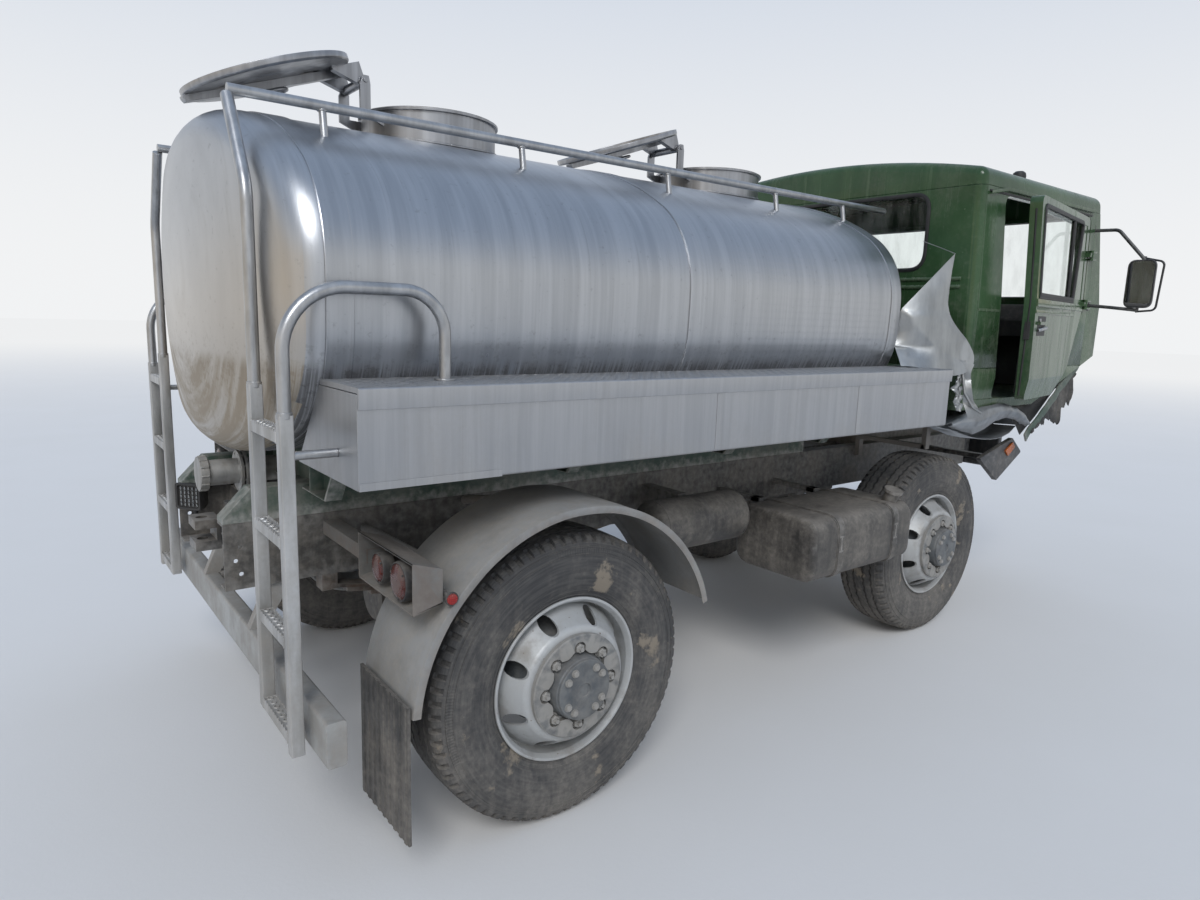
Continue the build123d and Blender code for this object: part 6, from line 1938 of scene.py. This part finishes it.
for side in (-1, 1):
    slab(bm, (rear_x + 2.705, side * (wall_at(1.893) + 0.0035), 1.886),
         (rear_x + 2.935, side * (wall_at(1.893) - 0.002), 1.900))
    gutter = [(0.000, -0.004), (0.016, -0.004), (0.018, 0.002), (0.018, 0.014), (0.0165, 0.014),
              (0.014, 0.000), (0.000, 0.000)]
    path = [(rear_x + 2.720, side * (wall_at(2.500) - 0.001), 2.498),
            (rear_x + 2.900, side * (wall_at(2.530) - 0.001), 2.534),
            (rear_x + 4.060, side * (wall_at(2.535) - 0.001), 2.538)]
    swept(bm, route(path, 0.25, 12), [(u, v * side) for u, v in gutter], (0, side, 0))
trim = solid("cab_trim", bm, cab_paint, 0.0012)
bm = bmesh.new()
rear_frame = rounded_path([(-0.806, 2.109, 0.096), (0.806, 2.109, 0.096), (0.806, 2.521, 0.096),
                           (-0.806, 2.521, 0.096)], closed=True, steps=8)
window_seal(bm, [Vector((CAB_BACK - 0.001, y, z)) for y, z in rear_frame], (-1, 0, 0))
rake = 0.190 / 0.800
screen_frame = rounded_path([(-0.971, 2.014, 0.086), (0.971, 2.014, 0.086), (0.971, 2.521, 0.086),
                             (-0.971, 2.521, 0.086)], closed=True, steps=8)
window_seal(bm, [Vector((rear_x + 4.311 - rake * (z - BELT), y, z)) for y, z in screen_frame], (1, 0, 0))
# Painted shadow: a thin black strip along each side, just under the drip rail, stands for the shade beneath
# the rail.
for side in (-1, 1):
    slab(bm, (rear_x + 2.725, side * (wall_at(2.515) + 0.003), 2.510),
         (rear_x + 4.050, side * (wall_at(2.515) - 0.003), 2.521))
seals_and_shadow_strip = solid("cab_seals", bm, window_rubber, 0.001)
fit(joined("cab_body", *cab_shell, trim, seals_and_shadow_strip), None, "chassis", "cab_green",
    "cab_roof", "cab_back_wall", "cab_sides", "cab_front", "cab_floor")

# The windscreen and the rear window are flat safety glass with a faint green tint, filmed
# with a little dust.
def pane_glass(name, tint, film=0.07):
    """Clear glass with a thin film of dust on it."""
    made, tree, shader = new_material(name)
    feed_all(tree, shader, Base_Color=tint, Roughness=0.03, Transmission_Weight=1.0, IOR=1.12)
    coat = shade(tree, "BsdfDiffuse", Color=(0.52, 0.51, 0.47, 1))
    filmed = speckle(tree, place_on(tree, (1, 3, 1)), 5.0, 6, 0.6)
    mix_shaders(tree, rise(tree, filmed, 0.35, 0.75, 0.0, film), shader.outputs["BSDF"], coat.outputs["BSDF"])
    return made


cab_glass = pane_glass("cab_glass", (0.95, 0.98, 0.965, 1))
fit(eased("cab_glass", "cab_panes", 0.0008, 1), cab_glass, "chassis", "window_glass", "cab_glass")

# The doors are hollow pressed steel with a window frame, a quarter light and a belt moulding.
# Each hangs on two pin hinges. The right one stands ajar and is drawn shut, then turned.
DOOR_PIN = Vector((rear_x + 4.043, 1.134, 0.0))
DOOR_AJAR = radians(9.5)


def door_line(z):
    """The door's slanting rear edge at a height."""
    return rear_x + (2.960 - 0.045 * (z - BELT) / 0.550 if z > BELT else 2.960 + 0.040 * (BELT - z) / 0.545)


def door_trim(name, side):
    """Seals, mouldings, handle, lock and inner lining of a door, as drawn shut."""
    def skin(z, out=0.0):
        return side * (wall_at(z) + out)

    bm = bmesh.new()
    corners = [(door_line(1.990) + 0.060, 1.984, 0.030), (rear_x + 3.770, 1.984, 0.030),
               (rear_x + 3.872, 2.452, 0.030), (door_line(2.450) + 0.060, 2.452, 0.030)]
    frame_line = rounded_path(corners, closed=True, steps=5)
    window_seal(bm, [Vector((x, skin(z, 0.000), z)) for x, z in frame_line], (0, side, 0), 0.012, 0.007)
    bar(bm, (rear_x + 3.650, skin(1.990, -0.004), 1.990), (rear_x + 3.652, skin(2.448, -0.004), 2.448),
        0.011, 12)
    seal_path = [(door_line(1.430) + 0.001, 1.430), (door_line(BELT) + 0.001, BELT),
                 (door_line(2.430) + 0.001, 2.430)]
    swept(bm, route([(x, skin(z, -0.030), z) for x, z in seal_path], 0.1), circle(0.0055, 10))
    slab(bm, (door_line(1.975) + 0.050, skin(1.975, -0.002), 1.963),
         (rear_x + 3.780, skin(1.975, 0.0045), 1.986))
    rubber = solid(name + "_rubber", bm, window_rubber, 0.0008)
    bm = bmesh.new()
    fill = [(rear_x + 3.790, 1.985), (rear_x + 3.985, 1.985), (rear_x + 3.985, 2.450),
            (rear_x + 3.892, 2.450)]
    loft(bm, [[bm.verts.new((x, skin(z, inset), z)) for x, z in fill] for inset in (-0.034, -0.003)])
    belt = ((-0.003, -0.021), (0.007, -0.020), (0.0085, -0.016), (0.004, 0.020), (-0.003, 0.021))
    bead = ((-0.003, -0.010), (0.0055, -0.009), (0.006, -0.006), (0.002, 0.010), (-0.003, 0.010))
    for z, inset, stop, line in ((1.941, 0.010, 4.010, belt), (1.893, 0.004, 3.830, bead)):
        section_line = [(side * (wall_at(z) + out), z + lift) for out, lift in line]
        prism(bm, section_line, "x", door_line(z) + inset, rear_x + stop)
    mould = solid(name + "_mouldings", bm, cab_paint, 0.0008)
    bm = bmesh.new()
    slab(bm, (rear_x + 3.034, skin(1.83, -0.016), 1.762), (rear_x + 3.194, skin(1.83, 0.0015), 1.870))
    slab(bm, (door_line(1.80) - 0.004, skin(1.80, -0.048), 1.740),
         (door_line(1.80) + 0.010, skin(1.80, -0.018), 1.870))
    lining = [(door_line(1.930) + 0.030, 1.930), (rear_x + 3.960, 1.930), (rear_x + 3.780, 1.590),
              (rear_x + 3.560, 1.440), (door_line(1.440) + 0.030, 1.440)]
    loft(bm, [[bm.verts.new((x, side * wall_at(z, inset), z)) for x, z in lining]
              for inset in (0.0665, 0.0600)])
    slab(bm, (rear_x + 3.250, side * 1.054, 1.700), (rear_x + 3.560, side * 1.020, 1.730))
    fittings = solid(name + "_fittings", bm, window_rubber, 0.002)
    bm = bmesh.new()
    grip = [(rear_x + 3.052, skin(1.80, 0.001), 1.792), (rear_x + 3.066, skin(1.80, 0.012), 1.796),
            (rear_x + 3.176, skin(1.80, 0.011), 1.806)]
    swept(bm, route(grip, 0.01, 4), circle(0.0095, 12), (0, 0, 1))
    bar(bm, (rear_x + 3.070, skin(1.845, 0.001), 1.846), (rear_x + 3.070, skin(1.845, 0.006), 1.846), 0.011,
        16)
    handle = solid(name + "_handle", bm, rail_steel, 0.001)
    return [rubber, mould, fittings, handle]


for side, place, body in ((-1, "right", "right_door"), (1, "left", "left_door")):
    swing = Matrix.Identity(4)
    if side < 0:
        pin = Vector((DOOR_PIN.x, -DOOR_PIN.y, 0.0))
        swing = Matrix.Translation(pin) @ Matrix.Rotation(DOOR_AJAR, 4, "Z") @ Matrix.Translation(-pin)
    panel = coated(settled(eased("door_" + place, "door_panel_" + place, 0.004, 3, 32)), cab_paint)
    trims = door_trim("door_trim_" + place, side)
    for trim in trims:
        trim.data.transform(swing)
    fit(joined("cab_door_" + place, panel, *trims), None, body, "cab_green", "door_" + place)
    pane = eased("door_" + place + "_glass", "door_pane_" + place, 0.0006, 1)
    fit(pane, cab_glass, body, "window_glass", "door_" + place + "_glass")

# Inside, a moulded dashboard with dials and a steering wheel stands before two seats with
# worn cloth cushions on steel boxes.
dash_plastic = weathered("dash_plastic", (0.022, 0.022, 0.024), (0.040, 0.040, 0.040), dust=0.45, wear=0.1,
                         roughness=0.6)
seat_cloth = weathered("seat_cloth", (0.040, 0.045, 0.055), (0.075, 0.080, 0.090), dust=0.35, wear=0.0,
                       roughness=0.9, mottle=30.0)
SEATS = ((-0.560, "right"), (0.520, "left"))
dash = coated(settled(eased("dashboard", "dash_body", 0.012, 3)), dash_plastic)
bm = bmesh.new()
for k, y in enumerate((0.400, 0.520, 0.640)):
    bar(bm, (rear_x + 3.905, y, 1.905), (rear_x + 3.922, y, 1.915), 0.046 if k % 2 == 0 else 0.036, 32)
for y in (-0.40, 0.0, 0.85):
    slab(bm, (rear_x + 3.872, y - 0.06, 1.850), (rear_x + 3.930, y + 0.06, 1.895))
slab(bm, (rear_x + 4.232, -1.030, 1.405), (rear_x + 4.242, 1.030, 1.900))
dials = solid("dials", bm, window_rubber, 0.003)
fit(joined("dash_panel", dash, dials), None, "chassis", "inside_plastic", "dashboard")
fit(eased("steering_wheel", "steering_wheel_rim", 0.003, 2), dash_plastic, "chassis", "inside_plastic",
    "steering_wheel")


def cushion(name, low, high, lean=0.0, crown=0.030):
    """A seat cushion, crowned all round, with sewn channels across its face and a piped edge."""
    low, high = Vector(low), Vector(high)
    middle, half = (low + high) / 2, (high - low) / 2
    bm = bmesh.new()
    bmesh.ops.create_cube(bm, size=2.0)
    bmesh.ops.subdivide_edges(bm, edges=bm.edges, cuts=15, use_grid_fill=True)
    for vert in bm.verts:
        u, v, w = vert.co
        full = (1 - abs(u) ** 6) * (1 - abs(v) ** 6) * (1 - abs(w) ** 6)
        pinch = 1 - 0.07 * sum((abs(a) * abs(b)) ** 4 for a, b in ((u, v), (v, w), (u, w)))
        channel = 0.010 * abs(cos(v * pi * 2.5)) ** 8 if abs(u) > 0.99 or w > 0.99 else 0.0
        swell = crown * (full ** 0.5 - 1) - channel
        normal = Vector((u, v, w)).normalized()
        spot = Vector((u * half.x, v * half.y, w * half.z)) * pinch + normal * swell
        vert.co = middle + spot + Vector((lean * (spot.z + half.z), 0, 0))
    bmesh.ops.recalc_face_normals(bm, faces=bm.faces)
    made = new_object(name, mesh_of(bm, name, 60), seat_cloth)
    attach(made, "chassis")
    return made


bm = bmesh.new()
for y, place in SEATS:
    slab(bm, (rear_x + 2.950, y - 0.200, 1.400), (rear_x + 3.350, y + 0.200, 1.558))
    slab(bm, (rear_x + 2.925, y - 0.225, 1.548), (rear_x + 3.395, y + 0.225, 1.566))
    slab(bm, (rear_x + 2.800, y - 0.190, 1.580), (rear_x + 2.930, y + 0.190, 1.600))
    bar(bm, (rear_x + 2.900, y - 0.232, 1.640), (rear_x + 2.900, y + 0.232, 1.640), 0.012, 16)
fit(solid("seat_boxes", bm, dash_plastic, 0.004), None, "chassis", "inside_plastic", "seats")
for y, place in SEATS:
    cushion("seat_cushion_" + place, (rear_x + 2.920, y - 0.235, 1.566), (rear_x + 3.418, y + 0.235, 1.678))
    cushion("seat_back_" + place, (rear_x + 2.775, y - 0.225, 1.690), (rear_x + 2.872, y + 0.225, 2.085),
            -0.06)

# The mirrors are black moulded shells with the glass set in, carried out on bent steel
# arms. A bent tube stands round the outside of each shell.
mirror_black = weathered("mirror_black", (0.014, 0.015, 0.016), (0.030, 0.031, 0.032), dust=0.3, wear=0.2,
                         roughness=0.4, low=0.8, high=2.0)
mirror_glass, tree, shader = bright("mirror_glass", (0.80, 0.82, 0.83, 1), 0.04)


def mirror_set(side):
    """A mirror with its two arms, clamps, shell, glass and guard."""
    x = rear_x + 4.120
    bm = bmesh.new()
    upper = [(x + 0.004, side * 1.092, 2.432), (x + 0.006, side * 1.240, 2.428),
             (x + 0.022, side * 1.400, 2.240)]
    lower = [(x + 0.004, side * 1.112, 1.962), (x + 0.010, side * 1.250, 1.950),
             (x + 0.026, side * 1.390, 1.935)]
    guard = [(x + 0.026, side * y, z)
             for y, z in ((1.395, 2.252), (1.505, 2.226), (1.490, 1.936), (1.385, 1.926))]
    for path in (upper, lower):
        swept(bm, route(path, 0.05), circle(0.0105, 12), (0, 0, 1))
    swept(bm, route(guard, 0.03), circle(0.0065, 10), (1, 0, 0))
    bar(bm, (x + 0.026, side * 1.392, 1.925), (x + 0.026, side * 1.398, 2.262), 0.009, 12)
    for z, y in ((2.432, 1.098), (1.962, 1.116)):
        slab(bm, (x - 0.022, side * y - 0.006, z - 0.030), (x + 0.030, side * y + 0.006, z + 0.030))
        bar(bm, (x + 0.004, side * y, z - 0.034), (x + 0.004, side * y, z + 0.034), 0.009, 12)
    arms = solid("mirror_arms", bm, mirror_black, 0.001)
    bm = bmesh.new()
    outline = rounded_path([(1.316, 1.948, 0.045), (1.470, 1.948, 0.045), (1.470, 2.242, 0.045),
                            (1.316, 2.242, 0.045)], closed=True, steps=6)
    middle = Vector((0, 1.393, 2.095))
    rings = []
    for depth, size in ((0.000, 0.90), (0.000, 0.985), (0.004, 1.0), (0.018, 1.0), (0.034, 0.94),
                        (0.044, 0.78), (0.049, 0.45)):
        rings.append([bm.verts.new((x + 0.006 + depth, side * (middle.y + (y - middle.y) * size),
                                    middle.z + (z - middle.z) * size)) for y, z in outline])
    loft(bm, rings)
    shell = solid("mirror_shell", bm, mirror_black, 0)
    bm = bmesh.new()
    slim = [(middle.y + (y - middle.y) * 0.90, middle.z + (z - middle.z) * 0.93) for y, z in outline]
    prism(bm, [(side * y, z) for y, z in slim], "x", x + 0.0045, x + 0.0065)
    glass = solid("mirror_pane", bm, mirror_glass, 0)
    return joined("mirror_" + ("right" if side < 0 else "left"), arms, shell, glass)


fit(joined("cab_mirrors", mirror_set(-1), mirror_set(1)), None, "chassis", "mirror_black", "mirrors")

# Small fittings: a round lamp on the roof's edge, and a square work lamp on a short stub at
# the frame's rear end, its glass ribbed in small blocks.
bm = bmesh.new()
roof_lamp = (rear_x + 3.330, -0.960, 2.648)
lathe(bm, [(0.0, 0.060), (0.022, 0.058), (0.034, 0.048), (0.038, 0.030), (0.036, 0.012), (0.018, 0.006),
           (0.016, -0.014), (0.030, -0.016), (0.030, -0.024), (0.0, -0.024)], roof_lamp, 32)
roof_light = solid("roof_light", bm, window_rubber, 0)
bm = bmesh.new()
outline = rounded_path([(-0.062, -0.056, 0.014), (0.062, -0.056, 0.014), (0.062, 0.056, 0.014),
                        (-0.062, 0.056, 0.014)], closed=True, steps=5)
turn = (Matrix.Translation((rear_x - 0.905, 0.300, 1.000)) @ Matrix.Rotation(radians(38), 4, "Z")
        @ Matrix.Rotation(radians(90), 4, "Y"))
shells = []
for depth, size in ((0.050, 0.55), (0.040, 0.80), (0.012, 0.96), (-0.016, 1.0), (-0.020, 0.97),
                    (-0.019, 0.84), (-0.010, 0.80)):
    shells.append([bm.verts.new(turn @ Vector((v * size, u * size, depth))) for u, v in outline])
loft(bm, shells)
bar(bm, turn @ Vector((0.060, 0.0, 0.020)), turn @ Vector((0.110, 0.0, 0.030)), 0.009, 12)
lamp_case = solid("work_lamp_case", bm, window_rubber, 0.001)
bm = bmesh.new()
for u in range(5):
    for v in range(5):
        at = turn @ Vector((-0.034 + 0.017 * v, -0.038 + 0.019 * u, -0.0125))
        slab(bm, at - Vector((0.002, 0.007, 0.006)), at + Vector((0.002, 0.007, 0.006)))
lamp_front = solid("work_lamp_front", bm, clear_lens, 0.001)
fittings = joined("small_lamps", roof_light, lamp_case, lamp_front)
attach(fittings, "chassis")
